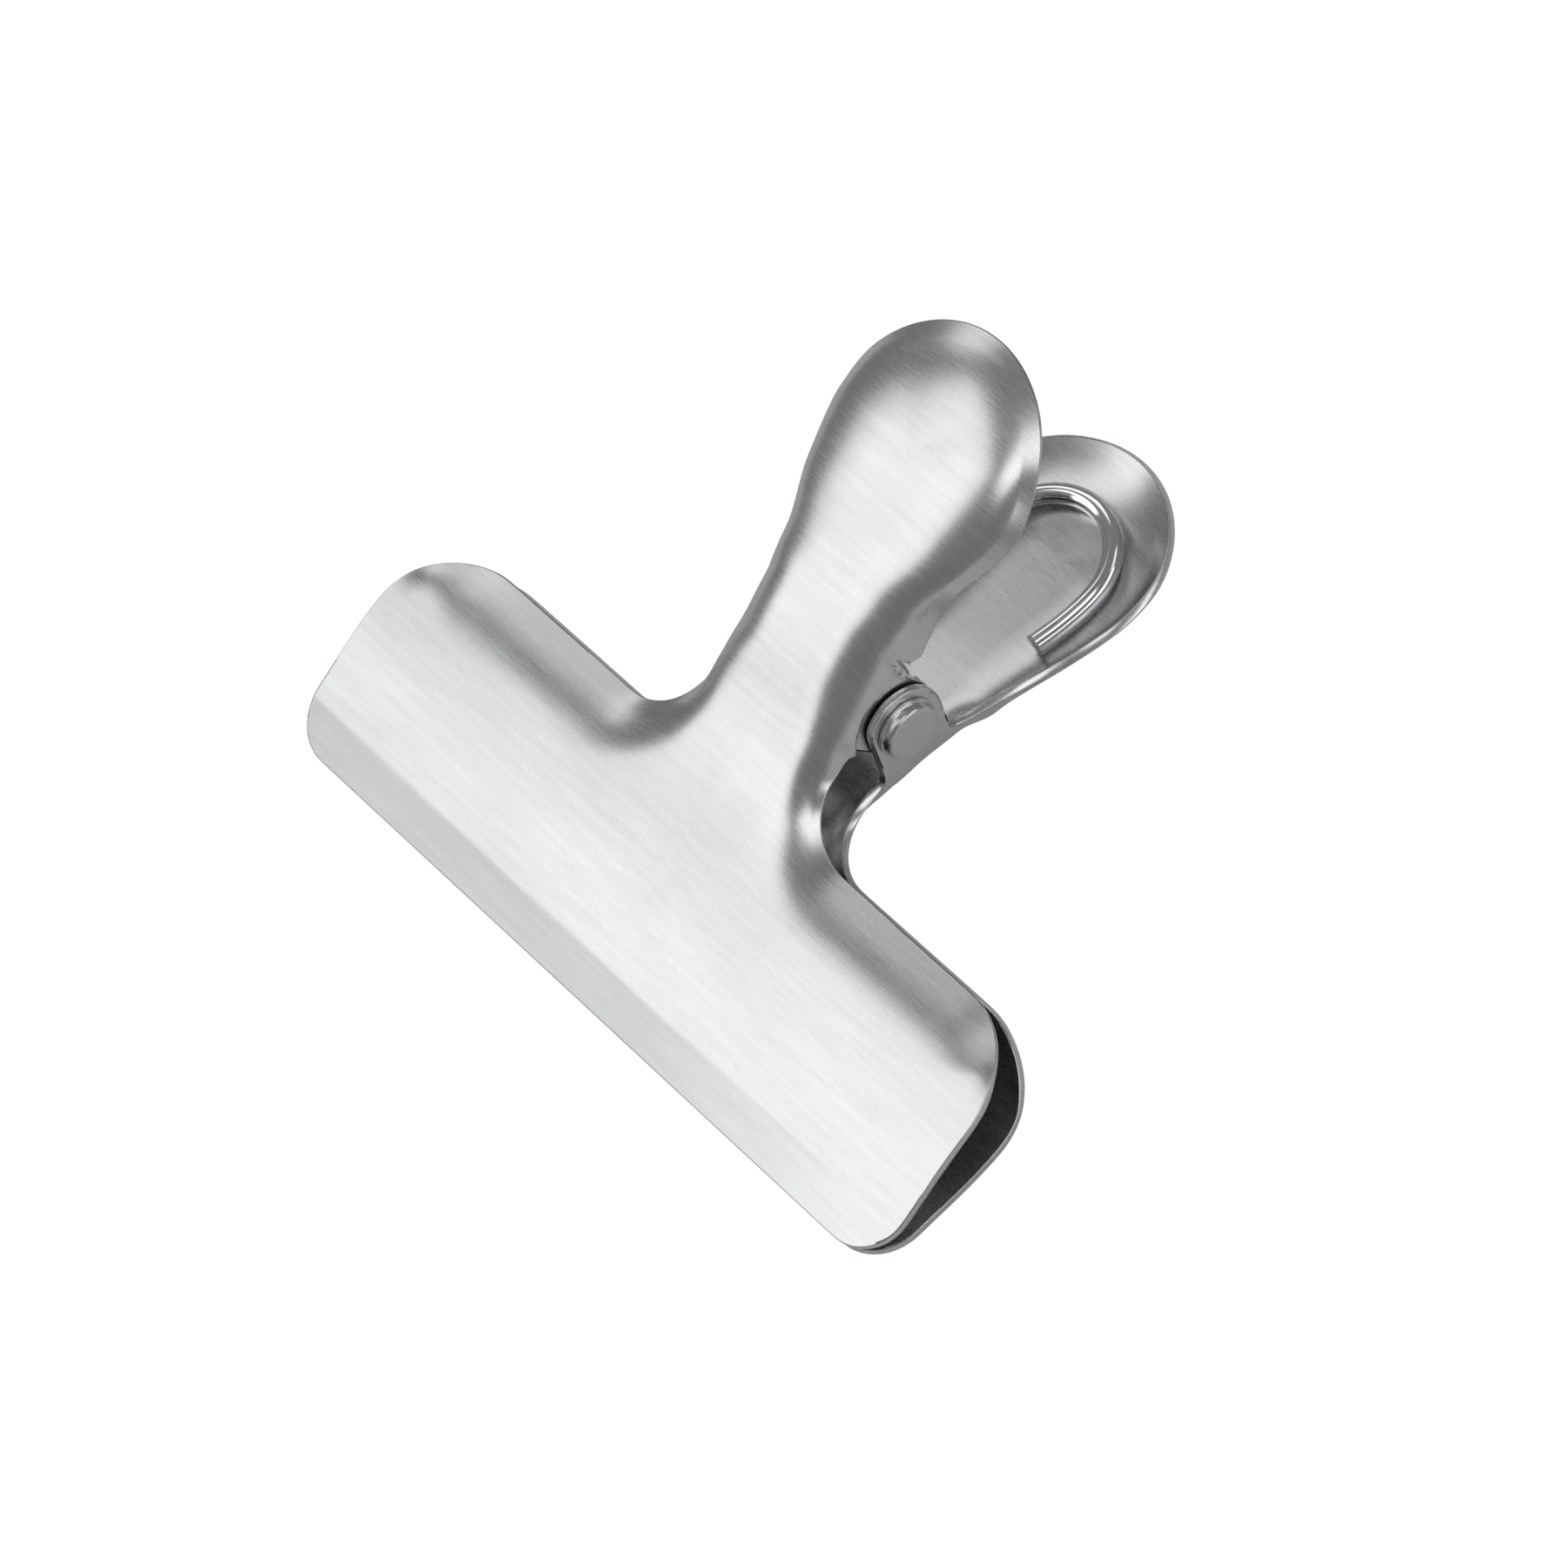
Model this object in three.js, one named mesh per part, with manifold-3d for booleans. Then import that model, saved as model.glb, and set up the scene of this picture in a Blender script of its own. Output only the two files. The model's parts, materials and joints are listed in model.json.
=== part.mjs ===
// A sheet steel spring clip: two stamped jaws, mirror images but for their ears, a pivot
// rivet through the four ears and a torsion spring whose hooks press the handles apart.
//
// Own frame of the clip, millimetres: x runs along the jaws, z from the lips up to the
// handle tips, and y from the front jaw to the back jaw, with the clamp plane at y = 0.
// A jaw is drawn as depth outside that plane. The last lines lay the clip on its back jaw.
import * as THREE from "three";
import Module from "manifold-3d";

const wasm = await Module();
wasm.setup();

// Driving dimensions of both jaws
const SHEET = 0.7;
const LIP_GAP = 0.2;
const JAW_WIDTH = 75;
const BLADE_HEIGHT = 20.9;
const LIP_CORNER = 4.4;
const SHOULDER_CORNER = 8.4;
const LIP_STRIP = 4.5;
const RIM_INSET = 2;
const RIM_BEND = 1;
const LIP_BEND = 1.2;
const FLANGE_WIDTH = 4.2;
const FLANGE_EDGE_DEPTH = 1.75;
const FLANGE_BEND = 2.2;
const NECK_WIDTH = 15.2;
const NECK_FILLET = 5.6;
const NECK_EDGE_DEPTH = 2.9;
const NECK_BEND = 4.6;
const FILLET_INSET = 2.5;
const PIVOT_RISE = 11.8;
const HANDLE_RISE = 16.3;
const HANDLE_WIDTH = 22.2;
const HANDLE_BEND = 3;
const HANDLE_WALL = 3.6;
const TIP_LENGTH = 11.2;
const TIP_WALL = 2.6;
const TIP_INSET = 4;

// How far the outer face stands outside the clamp plane
const LIP_DEPTH = SHEET + LIP_GAP / 2;
const STRIP_DEPTH = 1.45;
const MIDDLE_DEPTH = 2.6;
const BLADE_DEPTH = 3.45;
const NECK_DEPTH = 5.3;
const PIVOT_DEPTH = 8.2;
const HANDLE_DEPTH = 12.9;
const TIP_DEPTH = 15.3;

// Ears, rivet and spring, whose leg leaves the coil at a share of the handle's rise
const EAR_RADIUS = 3.5;
const EAR_GAP = 0.25;
const EAR_FOOT_DEPTH = 3.2;
const EAR_FOOT_DROP = 4.4;
const EAR_CORNER_DEPTH = 5.1;
const EAR_CORNER_RISE = 1.95;
const POCKET_CLEARANCE = 0.8;
const POCKET_STEP = 0.7;
const RELIEF_DEPTH = 6.4;
const RELIEF_RISE = 3.6;
const SHANK_RADIUS = 1.5;
const HOLE_CLEARANCE = 0.2;
const HEAD_RADIUS = 2.7;
const HEAD_HEIGHT = 1.1;
const HEAD_CLEARANCE = 0.05;
const HEAD_STEP = 0.2;
const HEAD_FLANGE = 0.3;
const HEAD_ROUND = 0.4;
const WIRE_RADIUS = 0.85;
const COIL_CLEARANCE = 0.4;
const COIL_TURNS = 4;
const COIL_PITCH = 2.2;
const HOOK_RADIUS = 6;
const HOOK_LIFT = 0.5;
const HOOK_END_DROP = 5.4;
const LEG_SIDESTEP = 0.15;
const LEG_START = 0.39;

// Heights and half widths that follow from them
const PIVOT_HEIGHT = BLADE_HEIGHT + PIVOT_RISE;
const HANDLE_WIDEST_AT = PIVOT_HEIGHT + HANDLE_RISE;
const CLIP_HEIGHT = HANDLE_WIDEST_AT + TIP_LENGTH;
const NECK_START = BLADE_HEIGHT + NECK_FILLET;
const EAR_FOOT_HEIGHT = PIVOT_HEIGHT - EAR_FOOT_DROP;
const EAR_CORNER_HEIGHT = PIVOT_HEIGHT + EAR_CORNER_RISE;
const NECK_HALF = NECK_WIDTH / 2;
const HANDLE_HALF = HANDLE_WIDTH / 2;
const HOLE_RADIUS = SHANK_RADIUS + HOLE_CLEARANCE;

// Faces along each part of a jaw, and round the wire
const FACE_STEPS = 3;
const BEND_STEPS = 4;
const WALL_STEPS = 2;
const COIL_STEPS = 12;
const WIRE_SIDES = 6;

// A smooth curve through [place, value] stations that never overshoots them.
function throughStations(stations) {
  const slopes = stations.map((station, i) => {
    if (i === 0 || i === stations.length - 1) return NaN;
    const before = rise(stations[i - 1], station);
    const after = rise(station, stations[i + 1]);
    return before * after <= 0 ? 0 : (2 * before * after) / (before + after);
  });
  slopes[0] = rise(stations[0], stations[1]);
  slopes[stations.length - 1] = rise(stations.at(-2), stations.at(-1));
  return (place) => {
    let i = 0;
    while (i < stations.length - 2 && place > stations[i + 1][0]) i += 1;
    const [a, va] = stations[i];
    const [b, vb] = stations[i + 1];
    const t = THREE.MathUtils.clamp((place - a) / (b - a), 0, 1);
    const span = b - a;
    return (
      va * (1 + 2 * t) * (1 - t) ** 2 +
      slopes[i] * span * t * (1 - t) ** 2 +
      vb * t * t * (3 - 2 * t) -
      slopes[i + 1] * span * t * t * (1 - t)
    );
  };
}

function rise(a, b) {
  return (b[1] - a[1]) / (b[0] - a[0]);
}

// Depth of the outer face at each height: the lip strip, the nearly flat blade, the neck
// that swings outwards and the handle.
const faceDepth = throughStations([
  [0, LIP_DEPTH],
  [LIP_STRIP, STRIP_DEPTH],
  [BLADE_HEIGHT / 2, MIDDLE_DEPTH],
  [BLADE_HEIGHT, BLADE_DEPTH],
  [NECK_START, NECK_DEPTH],
  [PIVOT_HEIGHT, PIVOT_DEPTH],
  [HANDLE_WIDEST_AT, HANDLE_DEPTH],
  [CLIP_HEIGHT, TIP_DEPTH],
]);

// A height between the pivot and the widest place of the handle, by its share of the way.
const upHandle = (share) => PIVOT_HEIGHT + HANDLE_RISE * share;

// Half the width of a jaw over the neck and handle.
const flare = throughStations([
  [0, 0],
  [0.2, 0.08],
  [0.4, 0.28],
  [0.62, 0.575],
  [0.82, 0.84],
  [1, 1],
]);
const FLARE_START = 0.17;
function halfWidth(z) {
  const share = (z - upHandle(FLARE_START)) / (HANDLE_RISE * (1 - FLARE_START));
  return THREE.MathUtils.lerp(NECK_HALF, HANDLE_HALF, flare(share));
}

// How high the handle's wall stands over its rim, from where it leaves the ears.
const BACK_WALL = [
  [EAR_CORNER_HEIGHT, faceDepth(EAR_CORNER_HEIGHT) - EAR_CORNER_DEPTH],
  [upHandle(0.3), 3.1],
  [upHandle(0.51), 2.7],
];
const FRONT_WALL = [
  [upHandle(0.275), 5.4],
  [upHandle(0.41), 4.45],
  [upHandle(0.535), 3.2],
];
const UPPER_WALL = [
  [upHandle(0.63), 2.8],
  [upHandle(0.82), 3.4],
  [HANDLE_WIDEST_AT, HANDLE_WALL],
  [HANDLE_WIDEST_AT + TIP_LENGTH * 0.45, 2.9],
  [CLIP_HEIGHT, TIP_WALL],
];

// Where the corner between face and wall lies inside the handle's outline.
const EAR_WALL_INSET = 0.15;
const wallInset = throughStations([
  [NECK_START, 1.1],
  [EAR_FOOT_HEIGHT, 0.7],
  [PIVOT_HEIGHT - EAR_RADIUS / 2, EAR_WALL_INSET],
  [PIVOT_HEIGHT + EAR_RADIUS / 2, EAR_WALL_INSET],
  [upHandle(0.325), 0.9],
  [upHandle(0.57), 1.6],
  [HANDLE_WIDEST_AT, 2.5],
]);

// How far the bend between face and wall reaches on each side of its corner.
const bendReach = throughStations([
  [NECK_START, 2.6],
  [EAR_FOOT_HEIGHT, 3.4],
  [PIVOT_HEIGHT - EAR_RADIUS / 2, NECK_BEND],
  [PIVOT_HEIGHT + EAR_RADIUS / 2, NECK_BEND],
  [upHandle(0.36), 3.2],
  [upHandle(0.57), 2.6],
  [HANDLE_WIDEST_AT, HANDLE_BEND],
]);

// One jaw is a fan of rows. Each row starts on a T-shaped spine inside the outline, follows
// the face to the corner, rounds the bend there and ends on the rim of the sheet.
const SPINE_HEIGHT = 9;
const SPINE_END = JAW_WIDTH / 2 - SHOULDER_CORNER;
const SPINE_TOP = HANDLE_WIDEST_AT + 1;
const SHOULDER_START = NECK_HALF + NECK_FILLET + 0.1;

function steps(from, to, count) {
  return Array.from({ length: count + 1 }, (_, i) => from + ((to - from) * i) / count);
}

function smooth(t) {
  const c = THREE.MathUtils.clamp(t, 0, 1);
  return c * c * (3 - 2 * c);
}

function row(spine, corner, rim, bend) {
  return { spine, corner, rim, bend };
}

function bladeRows() {
  const half = JAW_WIDTH / 2;
  const rows = [];
  const neckNodes = [0, SHOULDER_START / 3, (2 * SHOULDER_START) / 3];
  const bladeNodes = steps(SHOULDER_START, SPINE_END, 4);
  for (const x of [...neckNodes, ...bladeNodes]) {
    rows.push(row([x, SPINE_HEIGHT], [x, LIP_STRIP], [x, faceDepth(0), 0], LIP_BEND));
  }
  const end = [SPINE_END, SPINE_HEIGHT];
  const lipCorner = steps(-90, 0, 6).map((turn) => {
    const radians = THREE.MathUtils.degToRad(turn);
    return [half - LIP_CORNER + LIP_CORNER * Math.cos(radians), LIP_CORNER * (1 + Math.sin(radians))];
  });
  for (const [x, z] of [[(SPINE_END + half - LIP_CORNER) / 2, 0], ...lipCorner]) {
    const length = Math.hypot(x - end[0], z - end[1]);
    const toStrip = (SPINE_HEIGHT - LIP_STRIP) / (SPINE_HEIGHT - z);
    const part = Math.min(toStrip, 1 - RIM_INSET / length);
    const corner = [end[0] + (x - end[0]) * part, end[1] + (z - end[1]) * part];
    rows.push(row(end, corner, [x, faceDepth(z), z], RIM_BEND));
  }
  for (const z of steps(LIP_CORNER, BLADE_HEIGHT - SHOULDER_CORNER, 4).slice(1)) {
    rows.push(row(end, [half - RIM_INSET, z], [half, faceDepth(z), z], RIM_BEND));
  }
  for (const turn of steps(0, 90, 8).slice(1)) {
    const radians = THREE.MathUtils.degToRad(turn);
    const [dx, dz] = [Math.cos(radians), Math.sin(radians)];
    const x = half - SHOULDER_CORNER + SHOULDER_CORNER * dx;
    const z = BLADE_HEIGHT - SHOULDER_CORNER + SHOULDER_CORNER * dz;
    const turned = smooth((turn - 15) / 60);
    const depth = THREE.MathUtils.lerp(faceDepth(z), FLANGE_EDGE_DEPTH, turned);
    const inset = THREE.MathUtils.lerp(RIM_INSET, FLANGE_WIDTH, smooth(turn / 55));
    rows.push(row(end, [x - inset * dx, z - inset * dz], [x, depth, z], FLANGE_BEND));
  }
  for (const x of bladeNodes.slice(1, -1).reverse()) {
    rows.push(topEdgeRow(x));
  }
  return rows;
}

function topEdgeRow(x) {
  return row(
    [x, SPINE_HEIGHT],
    [x, BLADE_HEIGHT - FLANGE_WIDTH],
    [x, FLANGE_EDGE_DEPTH, BLADE_HEIGHT],
    FLANGE_BEND,
  );
}

// The concave fillet between blade and neck, where the flange grows into the neck's wall.
function filletRows() {
  const nodes = [
    [SHOULDER_START, SPINE_HEIGHT],
    [(2 * SHOULDER_START) / 3, SPINE_HEIGHT],
    [SHOULDER_START / 3, SPINE_HEIGHT],
    ...steps(SPINE_HEIGHT, NECK_START - 2, 4).map((height) => [0, height]),
  ];
  const inset = throughStations([
    [0, FLANGE_WIDTH],
    [0.5, FILLET_INSET],
    [1, wallInset(NECK_START)],
  ]);
  return nodes.map((node, i) => {
    const along = i / (nodes.length - 1);
    const radians = (Math.PI / 2) * along;
    const [dx, dz] = [-Math.sin(radians), -Math.cos(radians)];
    const [cx, cz] = [SHOULDER_START, NECK_START];
    const [x, z] = [cx + NECK_FILLET * dx, cz + NECK_FILLET * dz];
    const depth = THREE.MathUtils.lerp(FLANGE_EDGE_DEPTH, NECK_EDGE_DEPTH, smooth(along));
    const bend = THREE.MathUtils.lerp(FLANGE_BEND, bendReach(NECK_START), smooth(along));
    return row(node, [x + inset(along) * dx, z + inset(along) * dz], [x, depth, z], bend);
  });
}

function between(a, b, t) {
  return a.map((value, i) => THREE.MathUtils.lerp(value, b[i], t));
}

// Where an ear's round edge starts and ends, in degrees round the pivot.
const EAR_ARC_START = -135;
const EAR_ARC_END = -288;

// An arc round the pivot as [depth, height] points.
function arcPoints(radius, fromDegrees, toDegrees, count) {
  return steps(fromDegrees, toDegrees, count).map((degrees) => {
    const radians = THREE.MathUtils.degToRad(degrees);
    return [radius * Math.cos(radians), PIVOT_HEIGHT + radius * Math.sin(radians)];
  });
}

// The rim of a back ear as [depth, height]: straight up from the foot, round the pivot and
// straight down to the corner where the handle's wall starts.
function earOutline() {
  const foot = [EAR_FOOT_DEPTH, EAR_FOOT_HEIGHT];
  const corner = [EAR_CORNER_DEPTH, EAR_CORNER_HEIGHT];
  const round = arcPoints(EAR_RADIUS, EAR_ARC_START, EAR_ARC_END, 7);
  const lowerFlank = [1 / 4, 2 / 4, 3 / 4].map((share) => between(foot, round[0], share));
  const upperFlank = [1 / 3, 2 / 3].map((share) => between(round.at(-1), corner, share));
  return [foot, ...lowerFlank, ...round, ...upperFlank];
}

// The front ear is a plate set inwards, so the front wall itself ends inside the pocket.
function earlessOutline() {
  const inside = EAR_FOOT_DEPTH - 0.2;
  return [
    [EAR_FOOT_DEPTH, EAR_FOOT_HEIGHT],
    [inside, EAR_FOOT_HEIGHT + 1],
    [inside, PIVOT_HEIGHT],
    [inside, PIVOT_HEIGHT + EAR_RADIUS],
  ];
}

function handleRows(outline, lowerWall) {
  const rows = [];
  const wallHeight = throughStations([...lowerWall, ...UPPER_WALL]);
  const wallStart = lowerWall[0][0];
  const [low, high] = [EAR_FOOT_HEIGHT - 0.4, wallStart - 1.6];
  outline.forEach(([depth, z], i) => {
    const height = THREE.MathUtils.lerp(low, high, i / (outline.length - 1));
    const corner = [NECK_HALF - wallInset(height), height];
    rows.push(row([0, height], corner, [NECK_HALF, depth, z], bendReach(height)));
  });
  const rimAt = (x, z) => [x, faceDepth(z) - wallHeight(z), z];
  for (const z of steps(wallStart, HANDLE_WIDEST_AT, 8)) {
    const half = halfWidth(z);
    rows.push(row([0, z], [half - wallInset(z), z], rimAt(half, z), bendReach(z)));
  }
  for (const turn of steps(0, 90, 9).slice(1)) {
    const radians = THREE.MathUtils.degToRad(turn);
    const [dx, dz] = [Math.cos(radians), Math.sin(radians)];
    const x = turn === 90 ? 0 : HANDLE_HALF * dx;
    const z = HANDLE_WIDEST_AT + TIP_LENGTH * dz;
    const inset = THREE.MathUtils.lerp(wallInset(HANDLE_WIDEST_AT), TIP_INSET, smooth(turn / 60));
    const corner = [Math.max(x - inset * dx, 0), z - inset * dz];
    rows.push(row([0, SPINE_TOP], corner, rimAt(x, z), HANDLE_BEND));
  }
  return rows;
}

// The points of one row as [x, depth, z].
function rowPoints({ spine, corner, rim, bend }) {
  const onFace = (t) => {
    const x = THREE.MathUtils.lerp(spine[0], corner[0], t);
    const z = THREE.MathUtils.lerp(spine[1], corner[1], t);
    return new THREE.Vector3(x, faceDepth(z), z);
  };
  const faceLength = Math.hypot(corner[0] - spine[0], corner[1] - spine[1]);
  const bendAt = Math.max(1 - bend / faceLength, 0.3);
  const top = onFace(1);
  const end = new THREE.Vector3(...rim);
  const wall = end.clone().sub(top);
  const last = top.clone().addScaledVector(wall, Math.min(bend / wall.length(), 0.85));
  const curve = new THREE.QuadraticBezierCurve3(onFace(bendAt), top, last);
  return [
    ...steps(0, bendAt, FACE_STEPS).slice(0, -1).map(onFace),
    ...steps(0, 1, BEND_STEPS).map((t) => curve.getPoint(t)),
    ...steps(0, 1, WALL_STEPS).slice(1).map((t) => last.clone().lerp(end, t)),
  ];
}

// Welds points, and gives the index of each.
function welder() {
  const points = [];
  const known = new Map();
  const add = (p) => {
    const key = [p.x, p.y, p.z].map((v) => Math.round(v * 1e4)).join();
    if (!known.has(key)) {
      known.set(key, points.length);
      points.push(p.clone());
    }
    return known.get(key);
  };
  return { points, add };
}

// A closed sheet of even thickness behind the outer face that the rows span.
function sheetFromRows(rows) {
  const { points, add } = welder();
  const faces = [];
  const edges = [];
  const addFace = (a, b, c, flip) => {
    if (a !== b && b !== c && a !== c) faces.push(flip ? [a, c, b] : [a, b, c]);
  };
  for (const side of [1, -1]) {
    const grid = rows.map((r) => rowPoints(r).map((p) => add(new THREE.Vector3(p.x * side, p.y, p.z))));
    for (let i = 0; i + 1 < grid.length; i += 1) {
      const [a, b] = [grid[i], grid[i + 1]];
      for (let j = 0; j + 1 < a.length; j += 1) {
        addFace(a[j], a[j + 1], b[j + 1], side > 0);
        addFace(a[j], b[j + 1], b[j], side > 0);
      }
      edges.push(side > 0 ? [b.at(-1), a.at(-1)] : [a.at(-1), b.at(-1)]);
    }
  }
  const normals = points.map(() => new THREE.Vector3());
  for (const [a, b, c] of faces) {
    const normal = points[b].clone().sub(points[a]).cross(points[c].clone().sub(points[a]));
    for (const corner of [a, b, c]) normals[corner].add(normal);
  }
  const count = points.length;
  const inner = points.map((p, i) => p.clone().addScaledVector(normals[i].normalize(), -SHEET));
  const triangles = faces.flatMap(([a, b, c]) => [a, b, c, a + count, c + count, b + count]);
  for (const [a, b] of edges) triangles.push(b, a, a + count, b, a + count, b + count);
  return { points: [...points, ...inner], triangles };
}

function solidFrom({ points, triangles }) {
  const mesh = new wasm.Mesh({
    numProp: 3,
    vertProperties: new Float32Array(points.flatMap((p) => [p.x, p.y, p.z])),
    triVerts: new Uint32Array(triangles),
  });
  return new wasm.Manifold(mesh);
}

function solidFromGeometry(geometry) {
  const { points, add } = welder();
  const position = (geometry.index ? geometry.toNonIndexed() : geometry).getAttribute("position");
  const triangles = [];
  for (let i = 0; i < position.count; i += 3) {
    const corners = [0, 1, 2].map((k) => add(new THREE.Vector3().fromBufferAttribute(position, i + k)));
    if (new Set(corners).size === 3) triangles.push(...corners);
  }
  return solidFrom({ points, triangles });
}

function geometryFrom(solid) {
  const { vertProperties, triVerts, numProp } = solid.getMesh();
  const position = new Float32Array((vertProperties.length / numProp) * 3);
  for (let i = 0; i * numProp < vertProperties.length; i += 1) {
    position.set(vertProperties.subarray(i * numProp, i * numProp + 3), i * 3);
  }
  const geometry = new THREE.BufferGeometry();
  geometry.setAttribute("position", new THREE.BufferAttribute(position, 3));
  geometry.setIndex(new THREE.BufferAttribute(triVerts, 1));
  return geometry;
}

// A cylinder round the pivot axis from one x to another.
function roundPivot(radius, from, to, sides = 32) {
  const geometry = new THREE.CylinderGeometry(radius, radius, to - from, sides);
  geometry.rotateZ(Math.PI / 2);
  geometry.translate((from + to) / 2, 0, PIVOT_HEIGHT);
  return solidFromGeometry(geometry);
}

// A plate in an ear's plane: an outline of [depth, height] points between two x.
function earPlate(outline, from, to) {
  const shape = new THREE.Shape(outline.map(([depth, z]) => new THREE.Vector2(depth, z)));
  const geometry = new THREE.ExtrudeGeometry(shape, { depth: to - from, bevelEnabled: false });
  const basis = new THREE.Matrix4().makeBasis(
    new THREE.Vector3(0, 1, 0),
    new THREE.Vector3(0, 0, 1),
    new THREE.Vector3(1, 0, 0),
  );
  geometry.applyMatrix4(basis);
  geometry.translate(from, 0, 0);
  return solidFromGeometry(geometry);
}

function pivotHoles() {
  return roundPivot(HOLE_RADIUS, -NECK_WIDTH, NECK_WIDTH, 24);
}

function backJaw() {
  const rows = [...bladeRows(), ...filletRows(), ...handleRows(earOutline(), BACK_WALL)];
  return solidFrom(sheetFromRows(rows)).subtract(pivotHoles());
}

// Each front ear lies in a round pocket, pressed inwards by one sheet and a gap, so that the
// back ear turns flush with the wall round it. A ring joins the ear's plate to the wall.
const POCKET_RADIUS = EAR_RADIUS + POCKET_CLEARANCE;
const RING_RADIUS = POCKET_RADIUS + POCKET_STEP;
const EAR_OUTSIDE = NECK_HALF - SHEET - EAR_GAP;
const EAR_INSIDE = EAR_OUTSIDE - SHEET;
const RING_OUTSIDE = NECK_HALF - 0.04;

// The part of the ring that lies in the wall, and not past its edge.
const ringReach = [
  [EAR_FOOT_DEPTH - 0.3, PIVOT_HEIGHT - RING_RADIUS - 1],
  [RING_RADIUS + 1, PIVOT_HEIGHT - RING_RADIUS - 1],
  [RING_RADIUS + 1, PIVOT_HEIGHT + EAR_RADIUS],
  [EAR_FOOT_DEPTH - 0.3, PIVOT_HEIGHT + EAR_RADIUS],
];

// The notch that frees the ear from the wall above it.
const reliefNotch = [
  [2, PIVOT_HEIGHT + EAR_RADIUS],
  [RELIEF_DEPTH - 0.7, PIVOT_HEIGHT + RELIEF_RISE - 1],
  [RELIEF_DEPTH, PIVOT_HEIGHT + RELIEF_RISE],
  [RELIEF_DEPTH - 1.8, PIVOT_HEIGHT + RELIEF_RISE + 0.5],
  [2, PIVOT_HEIGHT + RELIEF_RISE + 0.8],
];

function frontJaw() {
  const rows = [...bladeRows(), ...filletRows(), ...handleRows(earlessOutline(), FRONT_WALL)];
  const plateOutline = [
    ...arcPoints(EAR_RADIUS, 90, 360 + EAR_ARC_START, 11),
    ...arcPoints((POCKET_RADIUS + RING_RADIUS) / 2, -54, 50, 10),
  ];
  const beyondWall = NECK_HALF + 1;
  let solid = solidFrom(sheetFromRows(rows));
  for (const side of [1, -1]) {
    const span = (from, to) => (side > 0 ? [from, to] : [-to, -from]);
    const pocket = roundPivot(POCKET_RADIUS, ...span(EAR_INSIDE - SHEET, beyondWall));
    const ring = roundPivot(RING_RADIUS, ...span(EAR_INSIDE, RING_OUTSIDE))
      .subtract(pocket)
      .intersect(earPlate(ringReach, ...span(EAR_INSIDE, RING_OUTSIDE)));
    const plate = earPlate(plateOutline, ...span(EAR_INSIDE, EAR_OUTSIDE));
    const relief = earPlate(reliefNotch, ...span(EAR_OUTSIDE, beyondWall));
    solid = solid.subtract(pocket).add(ring).subtract(relief).add(plate);
  }
  return solid.subtract(pivotHoles());
}

function pivotRivet() {
  const seat = NECK_HALF + HEAD_CLEARANCE;
  const top = seat + HEAD_HEIGHT;
  const button = HEAD_RADIUS - HEAD_STEP;
  const halfway = HEAD_ROUND * (1 - Math.SQRT1_2);
  const profile = [
    [0, -top],
    [button - HEAD_ROUND, -top],
    [button - halfway, -top + halfway],
    [button, -top + HEAD_ROUND],
    [button, -seat - HEAD_FLANGE],
    [HEAD_RADIUS, -seat - HEAD_FLANGE],
    [HEAD_RADIUS, -seat],
    [SHANK_RADIUS, -seat],
  ];
  const mirrored = profile.map(([radius, x]) => [radius, -x]).reverse();
  const points = [...profile, ...mirrored].map(([radius, x]) => new THREE.Vector2(radius, x));
  const geometry = new THREE.LatheGeometry(points, 24);
  geometry.rotateZ(-Math.PI / 2);
  geometry.translate(0, 0, PIVOT_HEIGHT);
  return solidFromGeometry(geometry);
}

// The spring's centre line, from the cut end in the back handle round its tip and down to
// the coil on the shank, and from there up into the front handle, mirrored in x and y.
const coilRadius = SHANK_RADIUS + COIL_CLEARANCE + WIRE_RADIUS;

function inBackHandle(x, z) {
  return new THREE.Vector3(x, faceDepth(z) - SHEET - WIRE_RADIUS - HOOK_LIFT, z);
}

function hookPoints(coilLength) {
  const arc = steps(0, 180, 10).map((degrees) => {
    const radians = THREE.MathUtils.degToRad(degrees);
    const x = HOOK_RADIUS * Math.cos(radians);
    return inBackHandle(x, HANDLE_WIDEST_AT + HOOK_RADIUS * Math.sin(radians));
  });
  const endHeight = HANDLE_WIDEST_AT - HOOK_END_DROP;
  const cutEnd = [
    inBackHandle(HOOK_RADIUS - 0.5, endHeight),
    inBackHandle(HOOK_RADIUS - 0.1, (endHeight + HANDLE_WIDEST_AT) / 2),
  ];
  const coilSide = -coilLength / 2 - LEG_SIDESTEP;
  const leg = [
    inBackHandle(0.3 - HOOK_RADIUS, upHandle(0.82)),
    inBackHandle((coilSide - HOOK_RADIUS) / 2, upHandle(0.6)),
    inBackHandle(coilSide, upHandle(LEG_START)),
  ];
  return [...cutEnd, ...arc, ...leg];
}

function springPath() {
  // Where the leg touches the coil, worked out from the leg's lowest point.
  const lowest = inBackHandle(0, upHandle(LEG_START));
  const [depth, height] = [lowest.y, lowest.z - PIVOT_HEIGHT];
  const start = Math.atan2(height, depth) - Math.acos(coilRadius / Math.hypot(depth, height));
  const turning = (COIL_TURNS + 1) * 2 * Math.PI - (Math.PI - 2 * start);
  const coilLength = (COIL_PITCH * turning) / (2 * Math.PI);
  const hook = hookPoints(coilLength);
  const count = Math.round((turning / (2 * Math.PI)) * COIL_STEPS);
  const coil = steps(0, 1, count).map((t) => {
    const turn = start - turning * t;
    const [y, z] = [coilRadius * Math.cos(turn), coilRadius * Math.sin(turn)];
    return new THREE.Vector3(coilLength * (t - 0.5), y, PIVOT_HEIGHT + z);
  });
  const mirrored = hook.map((p) => new THREE.Vector3(-p.x, -p.y, p.z)).reverse();
  return new THREE.CatmullRomCurve3([...hook, ...coil, ...mirrored]);
}

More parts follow.
